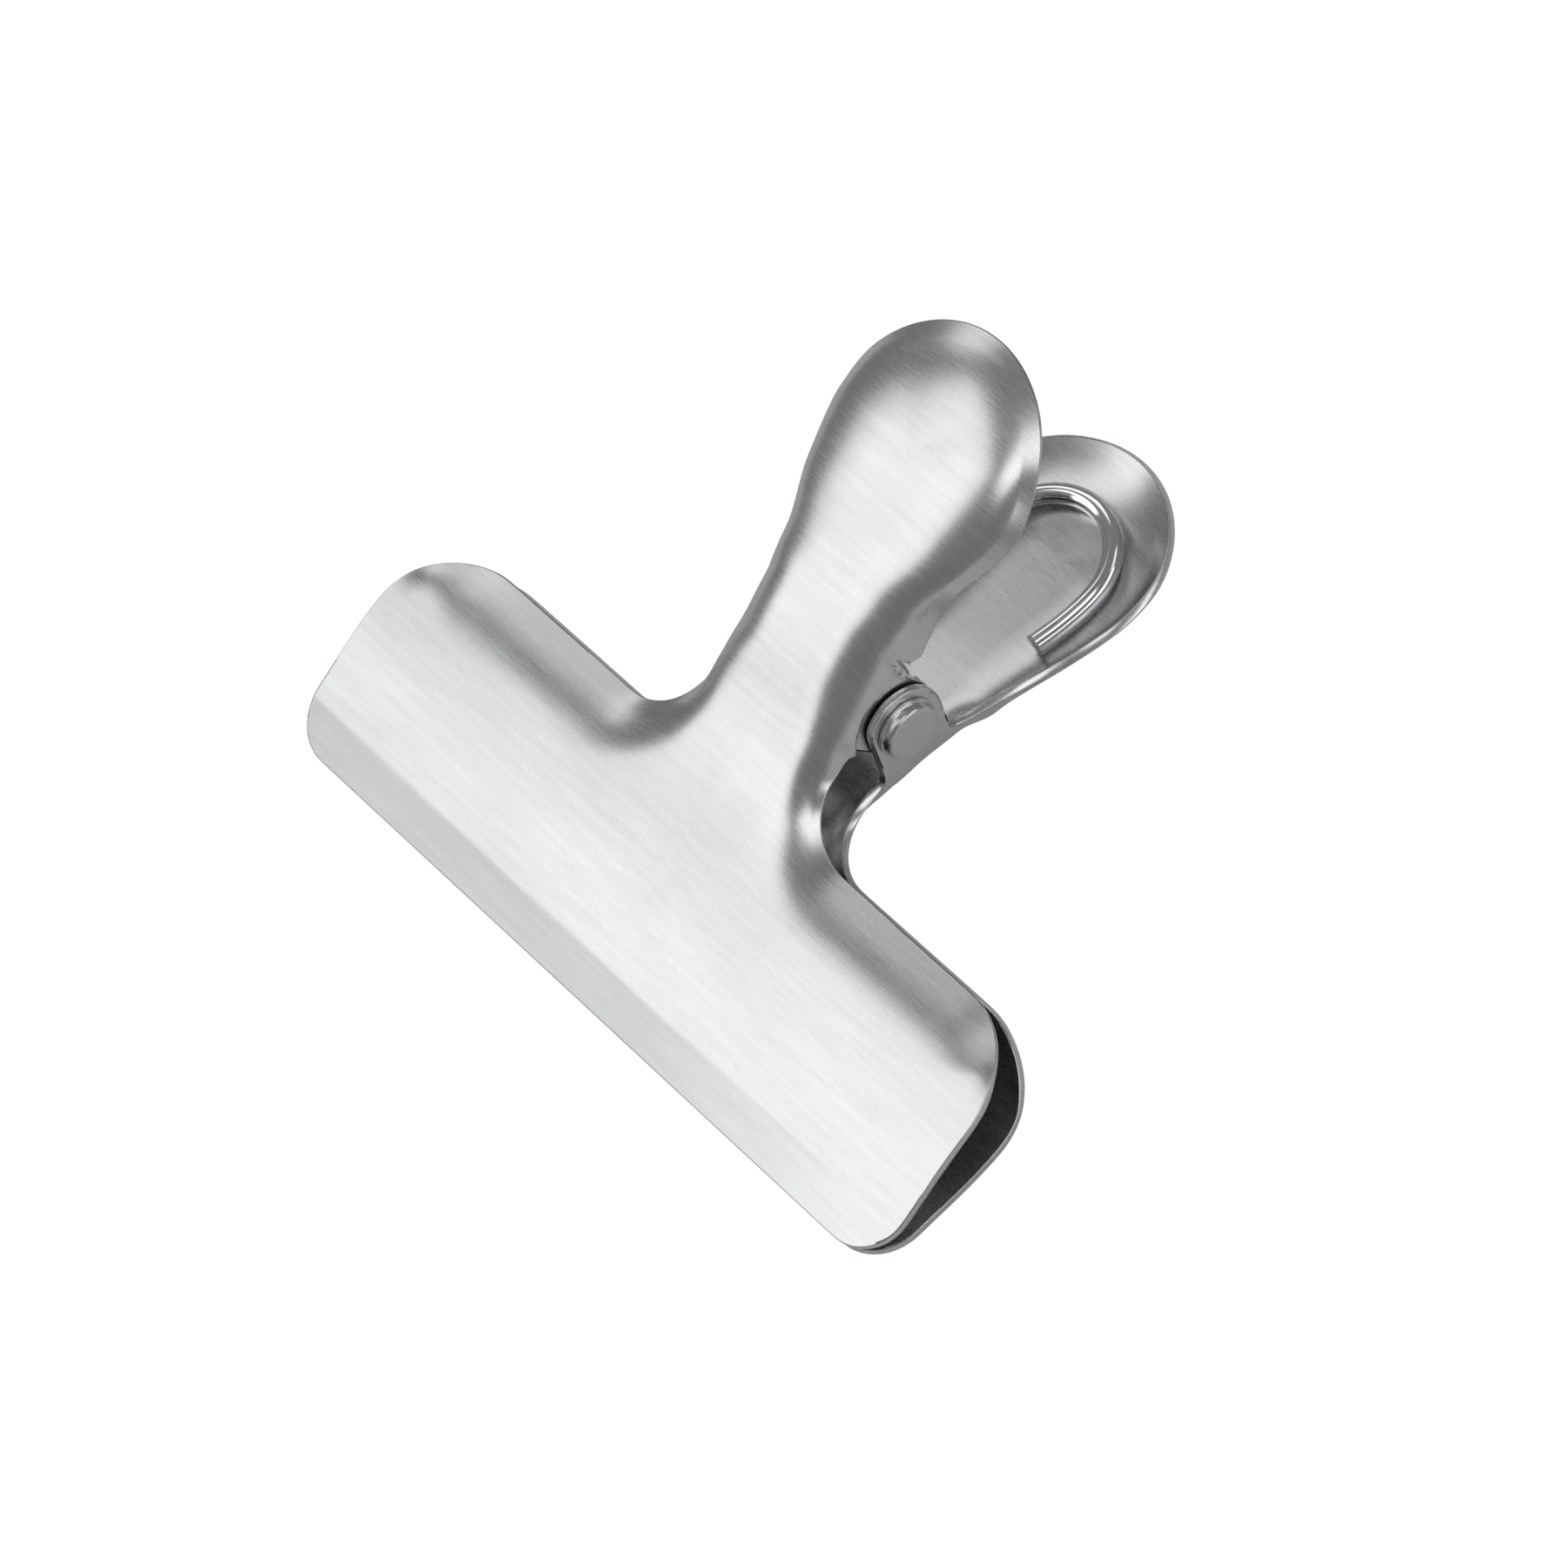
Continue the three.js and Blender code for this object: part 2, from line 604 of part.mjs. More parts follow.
// The least free space between turns, measured between points over half a turn apart.
function leastGap(path, count) {
  const points = path.getSpacedPoints(count);
  const apart = Math.ceil((Math.PI * coilRadius * count) / path.getLength());
  let least = Infinity;
  points.forEach((p, i) => {
    for (const q of points.slice(i + apart)) least = Math.min(least, p.distanceTo(q));
  });
  return least - 2 * WIRE_RADIUS;
}

function torsionSpring() {
  const path = springPath();
  path.arcLengthDivisions = 1500;
  const count = Math.round((path.getLength() * COIL_STEPS) / (2 * Math.PI * coilRadius));
  console.log("torsion_spring least gap to itself", leastGap(path, 600).toFixed(2), "mm");
  const corners = steps(0, 2 * Math.PI, WIRE_SIDES).slice(0, -1);
  const section = new THREE.Shape(
    corners.map((t) => new THREE.Vector2(WIRE_RADIUS * Math.cos(t), WIRE_RADIUS * Math.sin(t))),
  );
  const options = { steps: count, extrudePath: path, bevelEnabled: false };
  return solidFromGeometry(new THREE.ExtrudeGeometry(section, options));
}

// Steel as the photograph shows it: brushed sheet, a duller rivet and bright wire.
const FINISHES = {
  sheet: { color: 0xc9cbcd, roughness: 0.35, metalness: 1 },
  rivet: { color: 0xb4b6b8, roughness: 0.3, metalness: 1 },
  wire: { color: 0xdcdee0, roughness: 0.12, metalness: 1 },
};

function node(name, solid, finish) {
  const mesh = new THREE.Mesh(geometryFrom(solid), new THREE.MeshStandardMaterial(finish));
  mesh.name = name;
  return mesh;
}

const toFront = (solid) => solid.mirror([0, 1, 0]);
const clip = new THREE.Group();
clip.add(
  node("back_jaw", backJaw(), FINISHES.sheet),
  node("front_jaw", toFront(frontJaw()), FINISHES.sheet),
  node("pivot_rivet", pivotRivet(), FINISHES.rivet),
  node("torsion_spring", torsionSpring(), FINISHES.wire),
);

// Lays the clip on its back jaw: it rests on the blade's belly and the handle's back, and
// the line that touches both gives the lean. The origin is the middle of its footprint.
function layDown(group) {
  const position = group.getObjectByName("back_jaw").geometry.getAttribute("position");
  const points = Array.from({ length: position.count }, (_, i) =>
    new THREE.Vector3().fromBufferAttribute(position, i),
  );
  const outermost = (some, lean) =>
    some.reduce((best, p) => (reach(p, lean) > reach(best, lean) ? p : best));
  const blade = points.filter((p) => p.z < NECK_START);
  const handle = points.filter((p) => p.z >= NECK_START);
  let lean = 0;
  for (let i = 0; i < 8; i += 1) {
    const [low, high] = [outermost(blade, lean), outermost(handle, lean)];
    lean = Math.atan2(high.y - low.y, high.z - low.z);
  }
  group.rotation.x = lean - Math.PI / 2;
  group.position.z = reach(outermost(blade, lean), lean);
  const footprint = new THREE.Box3().setFromObject(group, true).getCenter(new THREE.Vector3());
  group.position.y = -footprint.y;
}

// How far a point stands out square to a surface that leans by this angle.
function reach(point, lean) {
  return point.y * Math.cos(lean) - point.z * Math.sin(lean);
}

layDown(clip);

const part = new THREE.Group();
part.add(clip);
export default part;
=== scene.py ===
"""The looks of a brushed steel spring clip: smooth stamped jaws, a turned rivet and bright wire.

The clip's own frame is in millimetres: x along the jaws, z from the lips up to the handle
tips, y from the front jaw to the back jaw with the clamp plane at y = 0. A jaw is drawn as
depth outside that plane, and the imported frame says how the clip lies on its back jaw.
"""

import json
import math

import bpy
import numpy as np
from mathutils import Matrix, Vector


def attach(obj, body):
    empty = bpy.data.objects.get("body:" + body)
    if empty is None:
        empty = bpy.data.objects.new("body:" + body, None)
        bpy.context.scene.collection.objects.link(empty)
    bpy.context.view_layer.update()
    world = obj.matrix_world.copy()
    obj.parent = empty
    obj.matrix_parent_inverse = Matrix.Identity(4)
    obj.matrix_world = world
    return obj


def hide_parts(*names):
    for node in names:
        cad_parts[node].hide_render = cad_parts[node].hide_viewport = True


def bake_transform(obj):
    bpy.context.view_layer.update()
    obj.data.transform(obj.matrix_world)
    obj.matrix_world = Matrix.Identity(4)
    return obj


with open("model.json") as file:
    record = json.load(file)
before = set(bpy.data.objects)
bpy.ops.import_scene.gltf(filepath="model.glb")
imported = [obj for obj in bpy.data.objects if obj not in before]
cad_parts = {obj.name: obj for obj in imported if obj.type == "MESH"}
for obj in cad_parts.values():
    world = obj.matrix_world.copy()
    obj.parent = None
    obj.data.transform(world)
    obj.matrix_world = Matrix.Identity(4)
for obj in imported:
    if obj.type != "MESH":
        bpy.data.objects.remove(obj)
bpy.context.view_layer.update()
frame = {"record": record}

# Sizes of both jaws
SHEET = 0.7
LIP_GAP = 0.2
JAW_WIDTH = 75
BLADE_HEIGHT = 20.9
LIP_CORNER = 4.4
SHOULDER_CORNER = 8.4
SHOULDER_INSET = 1.2
LIP_STRIP = 4.5
RIM_INSET = 2
RIM_BEND = 1
LIP_BEND = 1.2
FLANGE_WIDTH = 4.2
FLANGE_EDGE_DEPTH = 1.75
FLANGE_BEND = 2.2
NECK_WIDTH = 15.2
NECK_FILLET = 5.6
NECK_EDGE_DEPTH = 2.9
NECK_BEND = 4.6
FILLET_INSET = 2.5
PIVOT_RISE = 11.8
HANDLE_RISE = 16.3
HANDLE_WIDTH = 22.2
HANDLE_BEND = 5.5
HANDLE_WALL = 3.6
TIP_LENGTH = 11.2
TIP_WALL = 2.6
TIP_INSET = 4.5
TIP_BEND = 6
EAR_WALL_INSET = 0.15

# Away from the ears, a bend takes at most this share of the wall that it runs into
WALL_REACH = 0.6

# How far the outer face stands outside the clamp plane
LIP_DEPTH = SHEET + LIP_GAP / 2
STRIP_DEPTH = 1.45
MIDDLE_DEPTH = 2.6
BLADE_DEPTH = 3.45
NECK_DEPTH = 5.3
PIVOT_DEPTH = 8.2
HANDLE_DEPTH = 12.9
TIP_DEPTH = 15.3

# Ears, rivet and spring; an ear's round edge runs between two angles round the pivot
EAR_ARC_START = -135
EAR_ARC_END = -288
EAR_RADIUS = 3.5
EAR_GAP = 0.25
EAR_FOOT_DEPTH = 3.2
EAR_FOOT_DROP = 4.4
EAR_CORNER_DEPTH = 5.1
EAR_CORNER_RISE = 1.95
POCKET_RADIUS = 4.25
POCKET_STEP = 0.65
RELIEF_DEPTH = 6.4
RELIEF_RISE = 3.6
NOTCH_WIDTH = 0.8
NOTCH_DROP = 1
NOTCH_LIP = (0.7, -0.5)
NOTCH_END = (0.35, 0.6)
NOTCH_OVERLAP = 0.3
SHANK_RADIUS = 1.5
HEAD_RADIUS = 2.7
HEAD_HEIGHT = 1.1
HEAD_CLEARANCE = 0.05
HEAD_FACE_STEP = 0.6
HEAD_ROUND = 0.35
SHANK_BEVEL = 0.02
WIRE_RADIUS = 0.85
COIL_CLEARANCE = 0.4
COIL_TURNS = 4
COIL_PITCH = 2.2
HOOK_RADIUS = 6
HOOK_LIFT = 0.5
HOOK_END_DROP = 5.4
LEG_START = 0.39
LEG_SIDESTEP = 0.15

# A head's side under its round edge, as (inside the head's radius, above its seat)
HEAD_SIDE = [(0.22, 0.55), (0.2, 0.36), (0.12, 0.3), (0.03, 0.26), (0, 0.2), (0, 0.04), (0.04, 0)]

# Heights and half widths that follow from them
PIVOT_HEIGHT = BLADE_HEIGHT + PIVOT_RISE
HANDLE_WIDEST_AT = PIVOT_HEIGHT + HANDLE_RISE
CLIP_HEIGHT = HANDLE_WIDEST_AT + TIP_LENGTH
NECK_START = BLADE_HEIGHT + NECK_FILLET
EAR_FOOT_HEIGHT = PIVOT_HEIGHT - EAR_FOOT_DROP
EAR_CORNER_HEIGHT = PIVOT_HEIGHT + EAR_CORNER_RISE
NECK_HALF = NECK_WIDTH / 2
HANDLE_HALF = HANDLE_WIDTH / 2

# How finely the control net and the subdivided surface are drawn
FACE_STEPS = 5
BEND_STEPS = 5
WALL_STEPS = 6
BLADE_STEPS = 6
LIP_CORNER_STEPS = 9
SIDE_STEPS = 6
SHOULDER_STEPS = 12
FILLET_STEPS = 7
EAR_FOOT_STEPS = 5
EAR_ARC_STEPS = 14
EAR_TOP_STEPS = 4
HANDLE_STEPS = 12
TIP_STEPS = 14
SUBDIVISIONS = 2
RELAX_ROUNDS = 6
RELAX_MARGIN = 0.8
EDGE_ROUND = 0.13
EDGE_STEPS = 3
RIVET_SIDES = 64
HEAD_ROUND_STEPS = 5
WIRE_SIDES = 20
WIRE_END_BEVEL = 0.12
WIRE_SPAN_STEPS = 8
COIL_TURN_STEPS = 24
HOOK_STEPS = 10

# The face's depth is evened out over a span that grows from nothing at the blade's top
EVEN_SPAN = 3
EVEN_GROWTH = 5
EVEN_PARTS = (-0.9, -0.45, 0, 0.45, 0.9)

# The zone round the ears where points are set on the plain cross-section
ZONE_DEPTH = 4
ZONE_DROP = 0.5
ZONE_RADIUS = 9
ZONE_FADE = 2
ZONE_FOOT = 0.3
EAR_BEND_GROWTH = 6
EAR_BEND_FADE = 3
NEARLY_UPRIGHT = 1.57


def clip_matrix():
    """From the clip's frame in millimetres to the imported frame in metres."""
    lips = next(m for m in frame["record"]["mounts"] if m["name"] == "lip_grip")
    up = -Vector(lips["axis"]).normalized()
    along = Vector((1, 0, 0))
    back = up.cross(along)
    turn = Matrix((along, back, up)).transposed().to_4x4()
    return Matrix.Translation(lips["pos_m"]) @ turn @ Matrix.Scale(0.001, 4)


TO_FRAME = clip_matrix()


def steps(start, stop, count):
    return [start + (stop - start) * i / count for i in range(count + 1)]


def lerp(a, b, t):
    return a + (b - a) * t


def lerp2(a, b, t):
    return (lerp(a[0], b[0], t), lerp(a[1], b[1], t))


def eased(t):
    return t * t * (3 - 2 * t)


def smooth(t):
    return eased(min(max(t, 0), 1))


def through_stations(stations):
    """A smooth curve through (place, value) stations that never overshoots them."""
    rises = [(b[1] - a[1]) / (b[0] - a[0]) for a, b in zip(stations, stations[1:])]
    slopes = [rises[0]]
    for before, after in zip(rises, rises[1:]):
        slopes.append(0 if before * after <= 0 else 2 * before * after / (before + after))
    slopes.append(rises[-1])

    def value(place):
        i = 0
        while i < len(stations) - 2 and place > stations[i + 1][0]:
            i += 1
        (a, va), (b, vb) = stations[i], stations[i + 1]
        span = b - a
        t = min(max((place - a) / span, 0), 1)
        return (
            va * (1 + 2 * t) * (1 - t) ** 2
            + slopes[i] * span * t * (1 - t) ** 2
            + vb * t * t * (3 - 2 * t)
            - slopes[i + 1] * span * t * t * (1 - t)
        )

    return value


# Depth of the outer face at each height
face_depth = through_stations(
    [
        (0, LIP_DEPTH),
        (LIP_STRIP, STRIP_DEPTH),
        (BLADE_HEIGHT / 2, MIDDLE_DEPTH),
        (BLADE_HEIGHT, BLADE_DEPTH),
        (NECK_START, NECK_DEPTH),
        (PIVOT_HEIGHT, PIVOT_DEPTH),
        (HANDLE_WIDEST_AT, HANDLE_DEPTH),
        (CLIP_HEIGHT, TIP_DEPTH),
    ]
)


def up_handle(share):
    """A height between the pivot and the widest place of the handle."""
    return PIVOT_HEIGHT + HANDLE_RISE * share


dome = through_stations(
    [
        (up_handle(0.45), 0),
        (HANDLE_WIDEST_AT, 0.25),
        (HANDLE_WIDEST_AT + TIP_LENGTH / 2, 0.45),
        (CLIP_HEIGHT, 0.6),
    ]
)


def drawn_depth(z):
    """The face's depth, evened out along the neck and eased down by the handle's dome."""
    span = EVEN_SPAN * smooth((z - BLADE_HEIGHT) / EVEN_GROWTH)
    return sum(face_depth(z + span * part) for part in EVEN_PARTS) / len(EVEN_PARTS) - dome(z)


flare = through_stations([(0, 0), (0.2, 0.08), (0.4, 0.28), (0.62, 0.575), (0.82, 0.84), (1, 1)])
FLARE_START = 0.17


def half_width(z):
    """Half the width of the neck and handle at a height, up to the handle's widest place."""
    share = (z - up_handle(FLARE_START)) / (HANDLE_RISE * (1 - FLARE_START))
    return lerp(NECK_HALF, HANDLE_HALF, flare(share))


# How high the handle's wall stands over its rim
BACK_WALL = [
    (EAR_CORNER_HEIGHT, face_depth(EAR_CORNER_HEIGHT) - EAR_CORNER_DEPTH),
    (up_handle(0.3), 3.1),
    (up_handle(0.51), 2.7),
]
FRONT_WALL = [(up_handle(0.275), 5.4), (up_handle(0.41), 4.45), (up_handle(0.535), 3.2)]
UPPER_WALL = [
    (up_handle(0.63), 2.8),
    (up_handle(0.82), 3.4),
    (HANDLE_WIDEST_AT, HANDLE_WALL),
    (HANDLE_WIDEST_AT + TIP_LENGTH * 0.45, 2.9),
    (CLIP_HEIGHT, TIP_WALL),
]

wall_inset = through_stations(
    [
        (NECK_START, 1.1),
        (EAR_FOOT_HEIGHT, 0.7),
        (PIVOT_HEIGHT - EAR_RADIUS / 2, EAR_WALL_INSET),
        (PIVOT_HEIGHT + EAR_RADIUS / 2, EAR_WALL_INSET),
        (up_handle(0.325), 0.55),
        (up_handle(0.57), 1.3),
        (HANDLE_WIDEST_AT, 2.2),
    ]
)
bend_reach = through_stations(
    [
        (NECK_START, 2.6),
        (EAR_FOOT_HEIGHT, 3.4),
        (PIVOT_HEIGHT - EAR_RADIUS / 2, NECK_BEND),
        (PIVOT_HEIGHT + EAR_RADIUS / 2, NECK_BEND),
        (up_handle(0.36), 4.4),
        (up_handle(0.57), 4.8),
        (HANDLE_WIDEST_AT, HANDLE_BEND),
    ]
)

# One jaw is a fan of rows from a T-shaped spine out to the rim of the sheet
SPINE_HEIGHT = 9
SPINE_END = JAW_WIDTH / 2 - SHOULDER_CORNER
SPINE_TOP = HANDLE_WIDEST_AT + 0.4
SHOULDER_START = NECK_HALF + NECK_FILLET + 0.1
NECK_SPINE_STEPS = 4
FILLET_SPINE_DROP = 2

# Rows to an ear leave the spine lower than the ear's foot and corner by these
EAR_FOOT_SPINE_DROP = 0.4
EAR_CORNER_SPINE_DROP = 1.6

# Degrees of a turn after which a rim or bend starts to change, and how many the change takes
FLANGE_RIM_FROM, FLANGE_RIM_TURN = 15, 60
FLANGE_BEND_FROM, FLANGE_BEND_TURN = 25, 30
TIP_TURN = 60


def blade_rows():
    """Rows to the lips, round the lip's corner, up the side and round to the top flange."""
    half = JAW_WIDTH / 2
    rows = []
    neck_nodes = steps(0, SHOULDER_START, NECK_SPINE_STEPS)[:-1]
    blade_nodes = steps(SHOULDER_START, SPINE_END, BLADE_STEPS)
    for x in neck_nodes + blade_nodes:
        rows.append(((x, SPINE_HEIGHT), (x, LIP_STRIP), (x, face_depth(0), 0), LIP_BEND))
    end = (SPINE_END, SPINE_HEIGHT)
    rims = [((SPINE_END + half - LIP_CORNER) / 2, 0)]
    for turn in steps(-90, 0, LIP_CORNER_STEPS):
        radians = math.radians(turn)
        x = half - LIP_CORNER + LIP_CORNER * math.cos(radians)
        rims.append((x, LIP_CORNER * (1 + math.sin(radians))))
    for x, z in rims:
        length = math.hypot(x - end[0], z - end[1])
        to_strip = (SPINE_HEIGHT - LIP_STRIP) / (SPINE_HEIGHT - z)
        part = min(to_strip, 1 - RIM_INSET / length)
        corner = (lerp(end[0], x, part), lerp(end[1], z, part))
        rows.append((end, corner, (x, face_depth(z), z), RIM_BEND))
    for z in steps(LIP_CORNER, BLADE_HEIGHT - SHOULDER_CORNER, SIDE_STEPS)[1:]:
        rows.append((end, (half - RIM_INSET, z), (half, face_depth(z), z), RIM_BEND))
    for turn in steps(0, 90, SHOULDER_STEPS)[1:]:
        radians = math.radians(turn)
        dx, dz = math.cos(radians), math.sin(radians)
        x = half - SHOULDER_CORNER + SHOULDER_CORNER * dx
        z = BLADE_HEIGHT - SHOULDER_CORNER + SHOULDER_CORNER * dz
        crease = BLADE_HEIGHT - FLANGE_WIDTH
        depth = lerp(face_depth(z), FLANGE_EDGE_DEPTH, smooth((turn - FLANGE_RIM_FROM) / FLANGE_RIM_TURN))
        length = math.hypot(x - end[0], z - end[1])
        part = min(1 - SHOULDER_INSET / length, (crease - SPINE_HEIGHT) / (z - SPINE_HEIGHT))
        bend = lerp(RIM_BEND, FLANGE_BEND, smooth((turn - FLANGE_BEND_FROM) / FLANGE_BEND_TURN))
        rows.append((end, lerp2(end, (x, z), part), (x, depth, z), bend))
    for x in reversed(blade_nodes[1:-1]):
        corner = (x, BLADE_HEIGHT - FLANGE_WIDTH)
        rows.append(((x, SPINE_HEIGHT), corner, (x, FLANGE_EDGE_DEPTH, BLADE_HEIGHT), FLANGE_BEND))
    return rows


def fillet_rows():
    """The concave fillet, where the flange grows into the neck's wall."""
    heights = steps(SPINE_HEIGHT, NECK_START - FILLET_SPINE_DROP, FILLET_STEPS)
    spine = steps(0, SHOULDER_START, NECK_SPINE_STEPS)
    nodes = [(x, SPINE_HEIGHT) for x in reversed(spine[1:])]
    nodes += [(0, height) for height in heights]
    inset = through_stations([(0, FLANGE_WIDTH), (0.5, FILLET_INSET), (1, wall_inset(NECK_START))])
    rows = []
    for i, node in enumerate(nodes):
        along = i / (len(nodes) - 1)
        radians = math.pi / 2 * along
        dx, dz = -math.sin(radians), -math.cos(radians)
        x = SHOULDER_START + NECK_FILLET * dx
        z = NECK_START + NECK_FILLET * dz
        depth = lerp(FLANGE_EDGE_DEPTH, NECK_EDGE_DEPTH, smooth(along))
        bend = lerp(FLANGE_BEND, bend_reach(NECK_START), smooth(along))
        corner = (x + inset(along) * dx, z + inset(along) * dz)
        rows.append((node, corner, (x, depth, z), bend))
    return rows


def straight(a, b, count):
    """Points from a towards b, without b."""
    return [lerp2(a, b, t) for t in steps(0, 1, count)[:-1]]


def ear_outline(corner):
    """The rim of an ear as (depth, height): straight up from the foot, round the pivot and
    straight on to the corner where the handle's wall starts."""
    circle = []
    for turn in steps(EAR_ARC_START, EAR_ARC_END, EAR_ARC_STEPS):
        depth = EAR_RADIUS * math.cos(math.radians(turn))
        circle.append((depth, PIVOT_HEIGHT + EAR_RADIUS * math.sin(math.radians(turn))))
    lower = straight((EAR_FOOT_DEPTH, EAR_FOOT_HEIGHT), circle[0], EAR_FOOT_STEPS)
    return lower + circle + straight(circle[-1], corner, EAR_TOP_STEPS)[1:]


def handle_rows(outline, heights, lower_wall):
    """Rows out to the ear's rim, up the handle's wall and round its tip."""
    rows = []
    wall_height = through_stations(lower_wall + UPPER_WALL)
    wall_start = lower_wall[0][0]
    for (depth, z), height in zip(outline, heights):
        corner = (NECK_HALF - wall_inset(height), height)
        rows.append(((0, height), corner, (NECK_HALF, depth, z), bend_reach(height)))
    for z in steps(wall_start, HANDLE_WIDEST_AT, HANDLE_STEPS):
        half = half_width(z)
        rim = (half, face_depth(z) - wall_height(z), z)
        rows.append(((0, z), (half - wall_inset(z), z), rim, bend_reach(z)))
    for turn in steps(0, 90, TIP_STEPS)[1:]:
        radians = math.radians(turn)
        dx, dz = math.cos(radians), math.sin(radians)
        x = 0 if turn == 90 else HANDLE_HALF * dx
        z = HANDLE_WIDEST_AT + TIP_LENGTH * dz
        tip = smooth(turn / TIP_TURN)
        inset = lerp(wall_inset(HANDLE_WIDEST_AT), TIP_INSET, tip)
        corner = (max(x - inset * dx, 0), z - inset * dz)
        rim = (x, face_depth(z) - wall_height(z), z)
        rows.append(((0, SPINE_TOP), corner, rim, lerp(HANDLE_BEND, TIP_BEND, tip)))
    return rows


def row_points(row):
    """One row as x, depth and z, and where each point lay in the flat blank."""
    (sx, sz), (cx, cz), rim, bend = row

    def on_face(t):
        z = lerp(sz, cz, t)
        return np.array((lerp(sx, cx, t), drawn_depth(z), z))

    face_length = math.hypot(cx - sx, cz - sz)
    bend_at = max(1 - bend / face_length, 0.15)
    top, end = on_face(1), np.array(rim, float)
    reach = min(bend / np.linalg.norm(end - top), WALL_REACH)
    last = lerp(top, end, reach)
    start = on_face(bend_at)
    points = [on_face(t) for t in steps(0, bend_at, FACE_STEPS)[:-1]]
    for t in steps(0, 1, BEND_STEPS):
        points.append(lerp(lerp(start, top, t), lerp(top, last, t), t))
    points += [lerp(last, end, t) for t in steps(0, 1, WALL_STEPS)[1:]]
    outward = np.array((rim[0] - sx, rim[2] - sz), float)
    outward /= np.linalg.norm(outward)
    blank = []
    for x, depth, z in points:
        drop = face_depth(z) - depth
        blank.append((x + drop * outward[0], z + drop * outward[1]))
    return points, blank


def control_net(rows):
    """The rows of both halves of a jaw, welded, as vertices, faces and blank places."""
    vertices, blanks, known, faces = [], [], {}, []

    def add(point, blank):
        key = tuple(round(float(v) * 1e4) for v in point)
        if key not in known:
            known[key] = len(vertices)
            vertices.append(point)
            blanks.append(blank)
        return known[key]

    for side in (1, -1):
        grid = []
        for row in rows:
            points, blank = row_points(row)
            flip = np.array((side, 1, 1))
            grid.append([add(p * flip, (b[0] * side, b[1])) for p, b in zip(points, blank)])
        for a, b in zip(grid, grid[1:]):
            for j in range(len(a) - 1):
                face = [a[j], a[j + 1], b[j + 1], b[j]]
                face = [v for k, v in enumerate(face) if v != face[k - 1]]
                if len(face) > 2:
                    faces.append(face[::-1] if side > 0 else face)
    return vertices, faces, blanks


def subdivided(vertices, faces, blanks):
    """The net after subdivision, as arrays of points, faces and blank places."""
    mesh = bpy.data.meshes.new("net")
    mesh.from_pydata([tuple(v) for v in vertices], [], faces)
    attribute = mesh.attributes.new("blank", "FLOAT_VECTOR", "POINT")
    attribute.data.foreach_set("vector", [c for x, z in blanks for c in (x, z, 0)])
    net = bpy.data.objects.new("net", mesh)
    bpy.context.scene.collection.objects.link(net)
    modifier = net.modifiers.new("subdivide", "SUBSURF")
    modifier.levels = SUBDIVISIONS
    modifier.render_levels = SUBDIVISIONS
    fine = bpy.data.meshes.new_from_object(net.evaluated_get(bpy.context.evaluated_depsgraph_get()))
    count = len(fine.vertices)
    points = np.zeros(count * 3)
    fine.vertices.foreach_get("co", points)
    flat = np.zeros(count * 3)
    fine.attributes["blank"].data.foreach_get("vector", flat)
    quads = np.array([tuple(p.vertices) for p in fine.polygons])
    bpy.data.objects.remove(net)
    bpy.data.meshes.remove(fine)
    return points.reshape(-1, 3), quads, flat.reshape(-1, 3)[:, :2]


def edges_of(quads):
    """Each edge with its two ends, and whether it lies on the rim."""
    pairs = np.concatenate([np.stack((quads[:, k], quads[:, (k + 1) % 4]), 1) for k in range(4)])
    _, first, counts = np.unique(np.sort(pairs, 1), axis=0, return_index=True, return_counts=True)
    return pairs[first], counts == 1


def relaxed(points, quads, rounds):
    """The points after averaging with their neighbours, but for the rim and the ears."""
    edges, on_rim = edges_of(quads)
    from_pivot = np.hypot(points[:, 1], points[:, 2] - PIVOT_HEIGHT)
    free = from_pivot > RELIEF_DEPTH + RELAX_MARGIN
    free[edges[on_rim].ravel()] = False
    degree = np.bincount(edges.ravel(), minlength=len(points))[:, None]
    for _ in range(rounds):
        total = np.zeros_like(points)
        np.add.at(total, edges[:, 0], points[edges[:, 1]])
        np.add.at(total, edges[:, 1], points[edges[:, 0]])
        points = np.where(free[:, None], lerp(points, total / degree, 0.5), points)
    return points


def section_weight(points):
    """How far a point follows the plain cross-section: fully round the ears, not further off."""
    distance = np.hypot(points[:, 1] - ZONE_DEPTH, points[:, 2] - PIVOT_HEIGHT + ZONE_DROP)
    above_fillet = np.clip((points[:, 2] - NECK_START - ZONE_FOOT) / ZONE_FADE, 0, 1)
    return eased(np.clip((ZONE_RADIUS - distance) / ZONE_FADE, 0, 1) * above_fillet)


